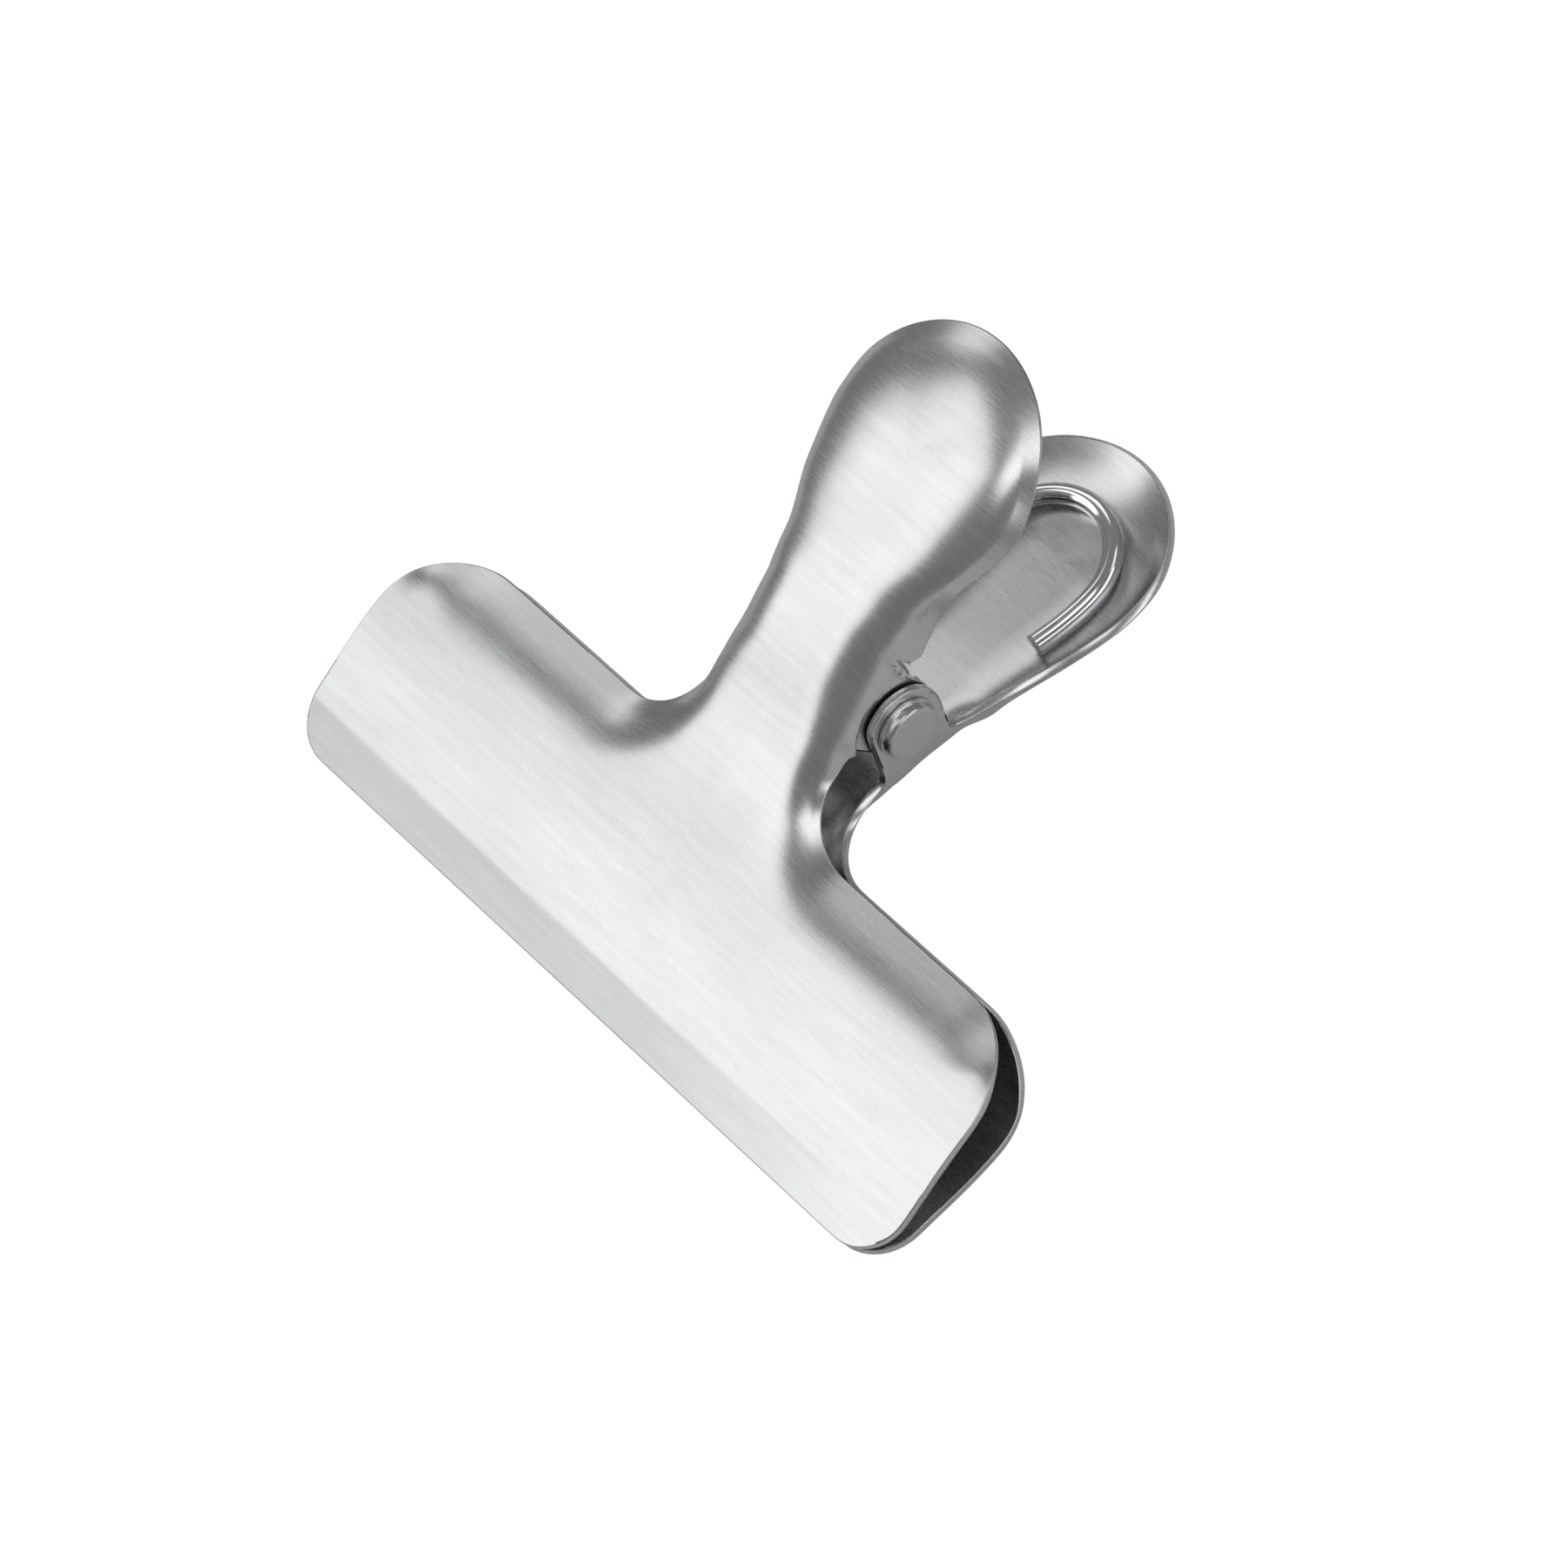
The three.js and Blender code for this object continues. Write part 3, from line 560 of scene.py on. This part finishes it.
def on_section(points, wall_height):
    """The points round the ears, set on the jaw's cross-section at their own height."""
    weight = section_weight(points)
    placed = points.copy()
    lowest_wall = drawn_depth(EAR_CORNER_HEIGHT) - wall_height(EAR_CORNER_HEIGHT)
    for i in np.flatnonzero(weight > 0):
        x, depth, z = points[i]
        side, x = math.copysign(1, x), abs(x)
        face, bend, half = drawn_depth(z), bend_reach(z), half_width(z)
        start = half - wall_inset(z) - bend
        up_ear = (z - EAR_FOOT_HEIGHT) / (EAR_CORNER_HEIGHT - EAR_FOOT_HEIGHT)
        rim = face - wall_height(z)
        if up_ear < 1:
            rim = lerp(NECK_EDGE_DEPTH, lowest_wall, smooth(up_ear))
        in_ear = smooth((z - NECK_START) / EAR_BEND_GROWTH)
        in_ear -= smooth((z - EAR_CORNER_HEIGHT) / EAR_BEND_FADE)
        reach = min(lerp(WALL_REACH * (face - rim), bend, in_ear), bend)

        def wall(d):
            return half - wall_inset(z) * min(max((d - rim) / (face - rim), 0), 1)

        if x <= start:
            target = (x, face)
        elif depth <= face - reach:
            target = (wall(depth), depth)
        else:
            turn = math.atan2(depth - face + reach, x - start)
            across = wall(face - reach) - start
            k = across / reach * math.tan(min(turn, NEARLY_UPRIGHT))
            t = 1 / (k + math.sqrt(k * k - k + 1))
            target = (start + 2 * t * (1 - t) * bend + t * t * across, face - reach * t * t)
        placed[i, 0] = side * lerp(x, target[0], weight[i])
        placed[i, 1] = lerp(depth, target[1], weight[i])
    return placed


def point_normals(points, quads):
    """The normal at each point, from the faces round it weighted by their area."""
    normals = np.zeros_like(points)
    corner = points[quads]
    face = np.cross(corner[:, 2] - corner[:, 0], corner[:, 3] - corner[:, 1])
    for k in range(4):
        np.add.at(normals, quads[:, k], face)
    return normals / np.linalg.norm(normals, axis=1)[:, None]


def sheet_mesh(name, points, quads, flat, kept_normals):
    """A closed sheet with a rounded edge behind the outer face."""
    normals = point_normals(points, quads)
    normals = np.where(kept_normals.any(1)[:, None], kept_normals, normals)
    edges, on_rim = edges_of(quads)
    follows = {int(a): int(b) for a, b in edges[on_rim]}
    loop = [next(iter(follows))]
    for _ in range(len(follows) - 1):
        loop.append(follows[loop[-1]])
    if len(set(loop)) < len(follows):
        raise ValueError("the rim of " + name + " isn't one loop")
    loop = np.array(loop)
    rim = points[loop]
    tangent = np.roll(rim, -1, 0) - np.roll(rim, 1, 0)
    outward = np.cross(tangent, normals[loop])
    outward /= np.linalg.norm(outward, axis=1)[:, None]
    outer = points.copy()
    outer[loop] -= outward * EDGE_ROUND
    inner = outer - normals * SHEET
    count, length = len(points), len(loop)
    bands = []
    for turn in steps(0, math.pi / 2, EDGE_STEPS)[1:]:
        bands.append((EDGE_ROUND * (1 - math.cos(turn)) / SHEET, math.sin(turn)))
    bands += [(1 - across, out) for across, out in reversed(bands)]
    bands = [
        lerp(outer[loop], inner[loop], across) + outward * EDGE_ROUND * out
        for across, out in bands
    ]
    vertices = np.concatenate([outer, inner, *bands])
    rings = [loop] + [2 * count + np.arange(length) + k * length for k in range(len(bands))]
    rings.append(loop + count)
    strip = []
    for a, b in zip(rings, rings[1:]):
        strip.append(np.stack((np.roll(a, -1), a, b, np.roll(b, -1)), 1))
    faces = np.concatenate([quads, quads[:, ::-1] + count, *strip])
    vertices[:, 0] = np.clip(vertices[:, 0], -JAW_WIDTH / 2, JAW_WIDTH / 2)
    blank = np.concatenate([flat, flat, *[flat[loop]] * len(bands)])
    return mesh_from(name, vertices, faces, blank)


def mesh_from(name, vertices, faces, blank=None):
    """A smooth-shaded object from points in the clip's frame."""
    mesh = bpy.data.meshes.new(name)
    mesh.from_pydata([tuple(v) for v in vertices], [], [tuple(int(i) for i in f) for f in faces])
    mesh.transform(TO_FRAME)
    if blank is not None:
        attribute = mesh.attributes.new("blank", "FLOAT_VECTOR", "POINT")
        attribute.data.foreach_set("vector", [c for x, z in blank for c in (x, z, 0)])
    mesh.polygons.foreach_set("use_smooth", [True] * len(mesh.polygons))
    mesh.update()
    made = bpy.data.objects.new(name, mesh)
    bpy.context.scene.collection.objects.link(made)
    return made


def set_into_pocket(points):
    """Presses the walls round the pivot inwards, as the front ears are."""
    depth, z = points[:, 1], points[:, 2]
    distance = np.hypot(depth, z - PIVOT_HEIGHT)
    t = np.clip((POCKET_RADIUS + POCKET_STEP - distance) / POCKET_STEP, 0, 1)
    pressed = points.copy()
    pressed[:, 0] -= np.sign(points[:, 0]) * (SHEET + EAR_GAP) * eased(t)
    return pressed


def cut_notch(points, quads, flat, outline):
    """Takes what lies inside a (depth, height) outline out of both side walls."""
    a = np.array(outline)
    span = np.roll(a, -1, 0) - a

    def inside(place):
        above = a[:, 1] > place[1]
        crossed = above != np.roll(above, -1)
        at = a[:, 0] + (place[1] - a[:, 1]) * span[:, 0] / np.where(crossed, span[:, 1], 1)
        return np.count_nonzero(crossed & (place[0] < at)) % 2 == 1

    def on_outline(place):
        along = np.clip(((place - a) * span).sum(1) / (span * span).sum(1), 0, 1)
        nearest = a + span * along[:, None]
        return nearest[np.argmin(np.linalg.norm(nearest - place, axis=1))]

    normals = point_normals(points, quads)
    middles = points[quads].mean(1)
    gone = np.array([abs(x) > NECK_HALF / 2 and inside((depth, z)) for x, depth, z in middles])
    used, kept = np.unique(quads[~gone], return_inverse=True)
    points, flat, normals = points[used], flat[used], normals[used]
    touched = np.isin(used, quads[gone])
    for i in np.flatnonzero(touched):
        points[i, 1:] = on_outline(points[i, 1:])
    normals[~touched] = 0
    return points, kept.reshape(-1, 4), flat, normals


def jaw(name, rows, lower_wall, front, notch=None):
    """A jaw's sheet from its rows; the front one is mirrored and has its ears pressed in."""
    points, quads, flat = subdivided(*control_net(rows))
    wall_height = through_stations(lower_wall + UPPER_WALL)
    points = on_section(relaxed(points, quads, RELAX_ROUNDS), wall_height)
    kept_normals = np.zeros_like(points)
    if notch:
        points, quads, flat, kept_normals = cut_notch(points, quads, flat, notch)
    if front:
        points = set_into_pocket(points)
        points[:, 1] *= -1
        kept_normals[:, 1] *= -1
        quads = quads[:, ::-1]
    return sheet_mesh(name, points, quads, flat, kept_normals)


def jaw_rows(outline, lower_wall):
    """All rows of one half of a jaw, in order round the rim from the lips to the tip."""
    foot = EAR_FOOT_HEIGHT - EAR_FOOT_SPINE_DROP
    top = lower_wall[0][0] - EAR_CORNER_SPINE_DROP
    heights = steps(foot, top, len(outline) - 1)
    return blade_rows() + fillet_rows() + handle_rows(outline, heights, lower_wall)


def back_jaw():
    """The back jaw, whose ears stand outside the front ones."""
    rows = jaw_rows(ear_outline((EAR_CORNER_DEPTH, EAR_CORNER_HEIGHT)), BACK_WALL)
    return jaw("back_jaw_sheet", rows, BACK_WALL, front=False)


def front_jaw():
    """The front jaw, with a notch cut out that frees each ear from the wall above it."""
    wall_start = FRONT_WALL[0][0]
    corner = (face_depth(wall_start) - FRONT_WALL[0][1], wall_start)
    outline = ear_outline(corner)
    arc_end = outline[-EAR_TOP_STEPS]
    top = (RELIEF_DEPTH, PIVOT_HEIGHT + RELIEF_RISE)
    floor = (top[0] - NOTCH_WIDTH, top[1] - NOTCH_DROP)
    lip = (corner[0] + NOTCH_LIP[0], corner[1] + NOTCH_LIP[1])
    above = (corner[0] + NOTCH_END[0], corner[1] + NOTCH_END[1])
    return jaw(
        "front_jaw_sheet",
        jaw_rows(outline, FRONT_WALL),
        FRONT_WALL,
        front=True,
        notch=[arc_end, floor, top, lip, above, (arc_end[0] - NOTCH_OVERLAP, above[1])],
    )


def revolved(name, profile, sides):
    """A turned piece on the pivot axis from (radius, x) points that start and end on it."""
    vertices, faces = [(profile[0][1], 0, PIVOT_HEIGHT)], []
    rings = []
    for radius, x in profile[1:-1]:
        rings.append(len(vertices) + np.arange(sides))
        for turn in steps(0, 2 * math.pi, sides)[:-1]:
            vertices.append((x, radius * math.cos(turn), PIVOT_HEIGHT + radius * math.sin(turn)))
    last = len(vertices)
    vertices.append((profile[-1][1], 0, PIVOT_HEIGHT))
    for k in range(sides):
        n = (k + 1) % sides
        faces.append((0, rings[0][n], rings[0][k]))
        faces.append((last, rings[-1][k], rings[-1][n]))
        for a, b in zip(rings, rings[1:]):
            faces.append((a[k], a[n], b[n], b[k]))
    return mesh_from(name, vertices, faces)


def rivet():
    """The rivet, turned from the middle of one head over the shank to the other's."""
    seat = NECK_HALF + HEAD_CLEARANCE
    top = seat + HEAD_HEIGHT
    face = HEAD_RADIUS - HEAD_FACE_STEP
    head = [(0, top), (face * 0.6, top), (face - 0.05, top)]
    for turn in steps(90, 0, HEAD_ROUND_STEPS):
        radians = math.radians(turn)
        down = HEAD_ROUND * (1 - math.sin(radians))
        head.append((face + HEAD_ROUND * math.cos(radians), top - down))
    head += [(HEAD_RADIUS - inside, seat + above) for inside, above in HEAD_SIDE]
    head += [(SHANK_RADIUS + SHANK_BEVEL, seat), (SHANK_RADIUS, seat - SHANK_BEVEL)]
    other = [(radius, -x) for radius, x in reversed(head)]
    return revolved("pivot_rivet_turned", head + other, RIVET_SIDES)


COIL_RADIUS = SHANK_RADIUS + COIL_CLEARANCE + WIRE_RADIUS


def in_back_handle(x, z):
    """A place for the wire's centre inside the back handle, just off the sheet."""
    return np.array((x, drawn_depth(z) - SHEET - WIRE_RADIUS - HOOK_LIFT, z))


def spring_points():
    """The centre line: points of the back leg, the coil and the front leg."""
    lowest = in_back_handle(0, up_handle(LEG_START))
    depth, height = lowest[1], lowest[2] - PIVOT_HEIGHT
    start = math.atan2(height, depth) - math.acos(COIL_RADIUS / math.hypot(depth, height))
    turning = (COIL_TURNS + 1) * 2 * math.pi - (math.pi - 2 * start)
    coil_length = COIL_PITCH * turning / (2 * math.pi)
    coil_side = -coil_length / 2 - LEG_SIDESTEP
    end_height = HANDLE_WIDEST_AT - HOOK_END_DROP
    leg = [
        in_back_handle(HOOK_RADIUS - 0.5, end_height),
        in_back_handle(HOOK_RADIUS - 0.1, (end_height + HANDLE_WIDEST_AT) / 2),
    ]
    for turn in steps(0, math.pi, HOOK_STEPS):
        x, rise = HOOK_RADIUS * math.cos(turn), HOOK_RADIUS * math.sin(turn)
        leg.append(in_back_handle(x, HANDLE_WIDEST_AT + rise))
    leg += [
        in_back_handle(0.3 - HOOK_RADIUS, up_handle(0.82)),
        in_back_handle((coil_side - HOOK_RADIUS) / 2, up_handle(0.6)),
        in_back_handle(coil_side, up_handle(LEG_START)),
    ]
    coil = []
    for t in steps(0, 1, round(turning / (2 * math.pi) * COIL_TURN_STEPS)):
        turn = start - turning * t
        y, z = COIL_RADIUS * math.cos(turn), COIL_RADIUS * math.sin(turn)
        coil.append(np.array((coil_length * (t - 0.5), y, PIVOT_HEIGHT + z)))
    front = [p * (-1, -1, 1) for p in reversed(leg)]
    return leg, coil, front


def catmull_rom(points, per_span):
    """A centripetal curve through the points, with per_span steps from each to the next."""
    points = [2 * points[0] - points[1], *points, 2 * points[-1] - points[-2]]
    curve = []
    for i in range(1, len(points) - 2):
        p0, p1, p2, p3 = points[i - 1 : i + 3]
        t0, t1, t2 = (math.sqrt(np.linalg.norm(b - a)) for a, b in ((p0, p1), (p1, p2), (p2, p3)))
        m1 = (p1 - p0) / t0 - (p2 - p0) / (t0 + t1) + (p2 - p1) / t1
        m2 = (p2 - p1) / t1 - (p3 - p1) / (t1 + t2) + (p3 - p2) / t2
        m1, m2 = m1 * t1, m2 * t1
        for t in steps(0, 1, per_span)[:-1]:
            a, b = 2 * t**3 - 3 * t**2 + 1, t**3 - 2 * t**2 + t
            c, d = -2 * t**3 + 3 * t**2, t**3 - t**2
            curve.append(a * p1 + b * m1 + c * p2 + d * m2)
    curve.append(points[-2])
    return np.array(curve)


def tube(name, centres, normals, tangents, caps):
    """A round wire along a stretch of the spring's centre line, capped where caps says so."""
    sides = WIRE_SIDES
    vertices, faces, ends = [], [], []
    for centre, normal, tangent in zip(centres, normals, tangents):
        across = np.cross(tangent, normal)
        for turn in steps(0, 2 * math.pi, sides)[:-1]:
            out = math.cos(turn) * normal + math.sin(turn) * across
            vertices.append(centre + WIRE_RADIUS * out)
    for i in range(len(centres) - 1):
        for k in range(sides):
            n = (k + 1) % sides
            a, b = i * sides, (i + 1) * sides
            faces.append((a + k, b + k, b + n, a + n))
    if caps[0]:
        ends.append(list(range(sides)))
    if caps[1]:
        ends.append([(len(centres) - 1) * sides + k for k in reversed(range(sides))])
    for ring in ends:
        middle = np.mean([vertices[i] for i in ring], axis=0)
        inner = len(vertices)
        for i in ring:
            vertices.append(lerp(vertices[i], middle, WIRE_END_BEVEL))
        vertices.append(middle)
        for k in range(sides):
            n = (k + 1) % sides
            faces.append((ring[k], ring[n], inner + n, inner + k))
            faces.append((inner + k, inner + n, inner + sides))
    return mesh_from(name, vertices, faces)


def spring():
    """The spring's back leg, coil and front leg, cut where the coil begins and ends."""
    leg, coil, front = spring_points()
    line = catmull_rom(leg + coil + front, WIRE_SPAN_STEPS)
    tangents = np.gradient(line, axis=0)
    tangents /= np.linalg.norm(tangents, axis=1)[:, None]
    normal = np.cross(tangents[0], (0.0, 0.0, 1.0))
    normals = []
    for tangent in tangents:
        normal = normal - tangent * (normal @ tangent)
        normal = normal / np.linalg.norm(normal)
        normals.append(normal)
    normals = np.array(normals)
    first = len(leg) * WIRE_SPAN_STEPS
    second = (len(leg) + len(coil) - 1) * WIRE_SPAN_STEPS
    parts = {
        "spring_back_leg": (0, first, (True, False)),
        "spring_coil": (first, second, (False, False)),
        "spring_front_leg": (second, len(line) - 1, (False, True)),
    }
    made = []
    for name, (a, b, caps) in parts.items():
        stretch = slice(a, b + 1)
        made.append(tube(name, line[stretch], normals[stretch], tangents[stretch], caps))
    return made, line[first], line[second]


# The pressed strip by the lips gets painted shade up to a height, which fades out along the jaw
STRIP_TOP = (LIP_STRIP - 1.2, LIP_STRIP - 0.8)
STRIP_FADE = (8.0, 32.0)
PAINTED_STRIP_SHADE = 0.76


def stretched_noise(tree, source, scale, detail):
    """Noise with its own scale along each axis of the place that it is read at."""
    stretch = tree.nodes.new("ShaderNodeMapping")
    stretch.inputs["Scale"].default_value = scale
    texture = tree.nodes.new("ShaderNodeTexNoise")
    texture.inputs["Scale"].default_value = 1.0
    texture.inputs["Detail"].default_value = detail
    texture.inputs["Roughness"].default_value = 0.6
    tree.links.new(source, stretch.inputs["Vector"])
    tree.links.new(stretch.outputs["Vector"], texture.inputs["Vector"])
    return texture.outputs["Fac"]


def ranged(tree, value, low, high, from_low=0.3, from_high=0.7):
    """A value carried over from one range to another, and held at its ends."""
    fit = tree.nodes.new("ShaderNodeMapRange")
    fit.inputs["From Min"].default_value = from_low
    fit.inputs["From Max"].default_value = from_high
    fit.inputs["To Min"].default_value = low
    fit.inputs["To Max"].default_value = high
    tree.links.new(value, fit.inputs["Value"])
    return fit.outputs["Result"]


def combined(tree, operation, a, b):
    """Two values put through one maths node."""
    node = tree.nodes.new("ShaderNodeMath")
    node.operation = operation
    tree.links.new(a, node.inputs[0])
    tree.links.new(b, node.inputs[1])
    return node.outputs[0]


def mixed(tree, factor, a, b):
    """A colour between two fixed colours."""
    node = tree.nodes.new("ShaderNodeMix")
    node.data_type = "RGBA"
    node.inputs["A"].default_value = (*a, 1)
    node.inputs["B"].default_value = (*b, 1)
    tree.links.new(factor, node.inputs["Factor"])
    return node.outputs["Result"]


def with_painted_strip_shade(tree, place, colour):
    """The colour with painted shade where the flat blank holds the pressed strip."""
    parts = tree.nodes.new("ShaderNodeSeparateXYZ")
    tree.links.new(place, parts.inputs["Vector"])
    above = ranged(tree, parts.outputs["Y"], 0.0, 1.0, *STRIP_TOP)
    aside = ranged(tree, parts.outputs["X"], 0.0, 1.0, *STRIP_FADE)
    plain = combined(tree, "MAXIMUM", above, aside)
    strip = tree.nodes.new("ShaderNodeMix")
    strip.data_type = "RGBA"
    strip.blend_type = "MULTIPLY"
    strip.inputs["Factor"].default_value = 1.0
    tree.links.new(colour, strip.inputs["A"])
    tree.links.new(mixed(tree, plain, [PAINTED_STRIP_SHADE] * 3, [1] * 3), strip.inputs["B"])
    return strip.outputs["Result"]


def brushed_steel(name, colour, roughness, grain, use_blank=True):
    """Steel with a grain along x, which on a jaw follows the sheet as it lay flat."""
    material = bpy.data.materials.new(name)
    material.use_nodes = True
    tree = material.node_tree
    shader = tree.nodes["Principled BSDF"]
    shader.inputs["Metallic"].default_value = 1.0
    if use_blank:
        attribute = tree.nodes.new("ShaderNodeAttribute")
        attribute.attribute_name = "blank"
        place, unit = attribute.outputs["Vector"], 1.0
    else:
        place, unit = tree.nodes.new("ShaderNodeTexCoord").outputs["Object"], 1000.0

    def noise(along, across, detail):
        return stretched_noise(tree, place, (along * unit, across * unit, across * unit), detail)

    fine = noise(along=0.35, across=9.0, detail=3.0)
    coarse = noise(along=0.12, across=1.6, detail=2.0)
    patches = noise(along=0.06, across=0.09, detail=1.0)
    streaks = combined(tree, "ADD", ranged(tree, fine, 0.0, 0.6), ranged(tree, coarse, 0.0, 0.4))
    dark = [c * (1 - grain) for c in colour]
    light = [min(c * (1 + grain * 0.5), 1) for c in colour]
    shown = mixed(tree, streaks, dark, light)
    if use_blank:
        # Painted shade on the pressed strip by the lips
        shown = with_painted_strip_shade(tree, place, shown)
    tree.links.new(shown, shader.inputs["Base Color"])
    grained = ranged(tree, fine, roughness - 0.04, roughness + 0.04)
    rough = combined(tree, "ADD", grained, ranged(tree, patches, -0.02, 0.02))
    tree.links.new(rough, shader.inputs["Roughness"])
    bump = tree.nodes.new("ShaderNodeBump")
    bump.inputs["Strength"].default_value = 0.25
    bump.inputs["Distance"].default_value = 0.00002
    tree.links.new(fine, bump.inputs["Height"])
    tree.links.new(bump.outputs["Normal"], shader.inputs["Normal"])
    return material


def wire_steel():
    """Bright drawn wire, a little uneven in its polish."""
    material = bpy.data.materials.new("bright_wire")
    material.use_nodes = True
    tree = material.node_tree
    shader = tree.nodes["Principled BSDF"]
    shader.inputs["Metallic"].default_value = 1.0
    shader.inputs["Base Color"].default_value = (0.9, 0.9, 0.91, 1)
    place = tree.nodes.new("ShaderNodeTexCoord")
    texture = tree.nodes.new("ShaderNodeTexNoise")
    texture.inputs["Scale"].default_value = 900
    texture.inputs["Detail"].default_value = 3
    tree.links.new(place.outputs["Object"], texture.inputs["Vector"])
    polish = ranged(tree, texture.outputs["Fac"], 0.06, 0.16, from_low=0.0, from_high=1.0)
    tree.links.new(polish, shader.inputs["Roughness"])
    return material


def dress():
    """Makes every piece and gives it its material, ties the jaws, rivet and legs to their bodies, and
    hides the imported parts.
    """
    sheet = brushed_steel("brushed_sheet", (0.74, 0.745, 0.75), 0.28, 0.14)
    turned = brushed_steel("rivet_steel", (0.7, 0.705, 0.71), 0.26, 0.08, use_blank=False)
    wire = wire_steel()
    back, front = back_jaw(), front_jaw()
    pin = rivet()
    (back_leg, coil, front_leg), coil_start, coil_end = spring()
    for piece, material, slot in (
        (back, sheet, "brushed_sheet"),
        (front, sheet, "brushed_sheet"),
        (pin, turned, "rivet_steel"),
        (back_leg, wire, "spring_wire"),
        (coil, wire, "spring_wire"),
        (front_leg, wire, "spring_wire"),
    ):
        piece.data.materials.append(material)
    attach(back, "back_body")
    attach(pin, "back_body")
    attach(back_leg, "back_body")
    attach(front, "front_body")
    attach(front_leg, "front_body")
    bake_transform(coil)
    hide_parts("back_jaw")
    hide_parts("front_jaw")
    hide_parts("pivot_rivet")
    for piece in (back_leg, coil, front_leg):
        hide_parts("torsion_spring")


# The photograph's camera in the clip's frame, in degrees and millimetres
CAMERA_AZIMUTH = 34.74
CAMERA_ELEVATION = 2.56
CAMERA_ROLL = 39.84
CAMERA_DISTANCE = 744.36
CAMERA_TARGET = (0, 0, 30)
CAMERA_PAN = (2.98, 6.52)
PIXELS_PER_MM = 14.81
PHOTO_PIXELS = 1800
SENSOR_MM = 36

# The studio, in metres
CLIP_END = 10
FLOOR_HALF = 3
LIGHT_DISTANCE = 1.2
WORLD_LIGHT = 0.18


def add_camera():
    """The photograph's camera, carried from the clip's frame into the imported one."""
    azimuth, elevation = math.radians(CAMERA_AZIMUTH), math.radians(CAMERA_ELEVATION)
    roll = math.radians(CAMERA_ROLL)
    towards = Vector(
        (
            math.sin(azimuth) * math.cos(elevation),
            -math.cos(azimuth) * math.cos(elevation),
            math.sin(elevation),
        )
    )
    level = (-towards).cross(Vector((0, 0, 1))).normalized()
    upright = level.cross(-towards)
    right = level * math.cos(roll) + upright * math.sin(roll)
    up = upright * math.cos(roll) - level * math.sin(roll)
    place = Vector(CAMERA_TARGET) + towards * CAMERA_DISTANCE
    place -= right * CAMERA_PAN[0] + up * CAMERA_PAN[1]
    turn = TO_FRAME.to_3x3() * 1000
    axes = Matrix([turn @ v for v in (right, up, towards)]).transposed()
    camera = bpy.data.objects.new("camera", bpy.data.cameras.new("camera"))
    camera.matrix_world = Matrix.Translation(TO_FRAME @ place) @ axes.to_4x4()
    camera.data.sensor_width = SENSOR_MM
    camera.data.lens = PIXELS_PER_MM * CAMERA_DISTANCE / PHOTO_PIXELS * SENSOR_MM
    camera.data.clip_end = CLIP_END
    bpy.context.scene.collection.objects.link(camera)
    bpy.context.scene.camera = camera


def add_floor():
    """A pale matt floor that shows nearly white but throws little of that on the steel."""
    mesh = bpy.data.meshes.new("floor")
    corners = [(x * FLOOR_HALF, y * FLOOR_HALF, 0) for x, y in ((-1, -1), (1, -1), (1, 1), (-1, 1))]
    mesh.from_pydata(corners, [], [(0, 1, 2, 3)])
    floor = bpy.data.objects.new("floor", mesh)
    bpy.context.scene.collection.objects.link(floor)
    material = bpy.data.materials.new("pale_floor")
    material.use_nodes = True
    nodes, links = material.node_tree.nodes, material.node_tree.links
    shader = nodes["Principled BSDF"]
    shader.inputs["Base Color"].default_value = (0.7, 0.7, 0.7, 1)
    shader.inputs["Roughness"].default_value = 0.9
    shader.inputs["Specular IOR Level"].default_value = 0.0
    path = nodes.new("ShaderNodeLightPath")
    total = None
    for ray, strength in (
        ("Is Camera Ray", 0.9),
        ("Is Glossy Ray", 0.06),
        ("Is Transmission Ray", 0.9),
    ):
        seen = nodes.new("ShaderNodeMath")
        seen.operation = "MULTIPLY_ADD"
        links.new(path.outputs[ray], seen.inputs[0])
        seen.inputs[1].default_value = strength
        seen.inputs[2].default_value = 0.0
        if total:
            links.new(total, seen.inputs[2])
        total = seen.outputs[0]
    shader.inputs["Emission Color"].default_value = (1, 1, 1, 1)
    links.new(total, shader.inputs["Emission Strength"])
    mesh.materials.append(material)


def add_light(name, direction, along, size, radiance):
    """A soft box LIGHT_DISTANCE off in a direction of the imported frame."""
    data = bpy.data.lights.new(name, "AREA")
    data.shape = "RECTANGLE"
    data.size, data.size_y = size
    data.energy = radiance * math.pi * size[0] * size[1]
    lamp = bpy.data.objects.new(name, data)
    way = Vector(direction).normalized()
    up = (Vector(along) - way * way.dot(Vector(along))).normalized()
    axes = Matrix((up.cross(way), up, way)).transposed()
    lamp.matrix_world = Matrix.Translation(way * LIGHT_DISTANCE) @ axes.to_4x4()
    bpy.context.scene.collection.objects.link(lamp)


def add_lights():
    """Five soft boxes in a dim white room."""
    world = bpy.data.worlds.new("studio")
    bpy.context.scene.world = world
    world.use_nodes = True
    background = world.node_tree.nodes["Background"]
    background.inputs["Color"].default_value = (1, 1, 1, 1)
    background.inputs["Strength"].default_value = WORLD_LIGHT
    add_light("key_light", (-0.47, -0.57, 0.68), (-0.32, -0.78, -0.54), (0.7, 1.3), 1.17)
    add_light("flange_light", (-0.62, 0.38, 0.68), (0, 0, 1), (0.8, 0.42), 0.9)
    add_light("top_light", (0.3, -0.05, 0.95), (0, 1, 0), (0.5, 0.7), 1.4)
    add_light("wall_light", (0.8, 0.33, 0.36), (-0.5, 0.85, 0.15), (0.4, 1.3), 1.4)
    add_light("fillet_light", (0.31, 0.71, 0.6), (0, 0, 1), (0.4, 0.35), 0.8)


dress()
add_camera()
add_floor()
add_lights()
bpy.context.scene.view_settings.view_transform = "Standard"
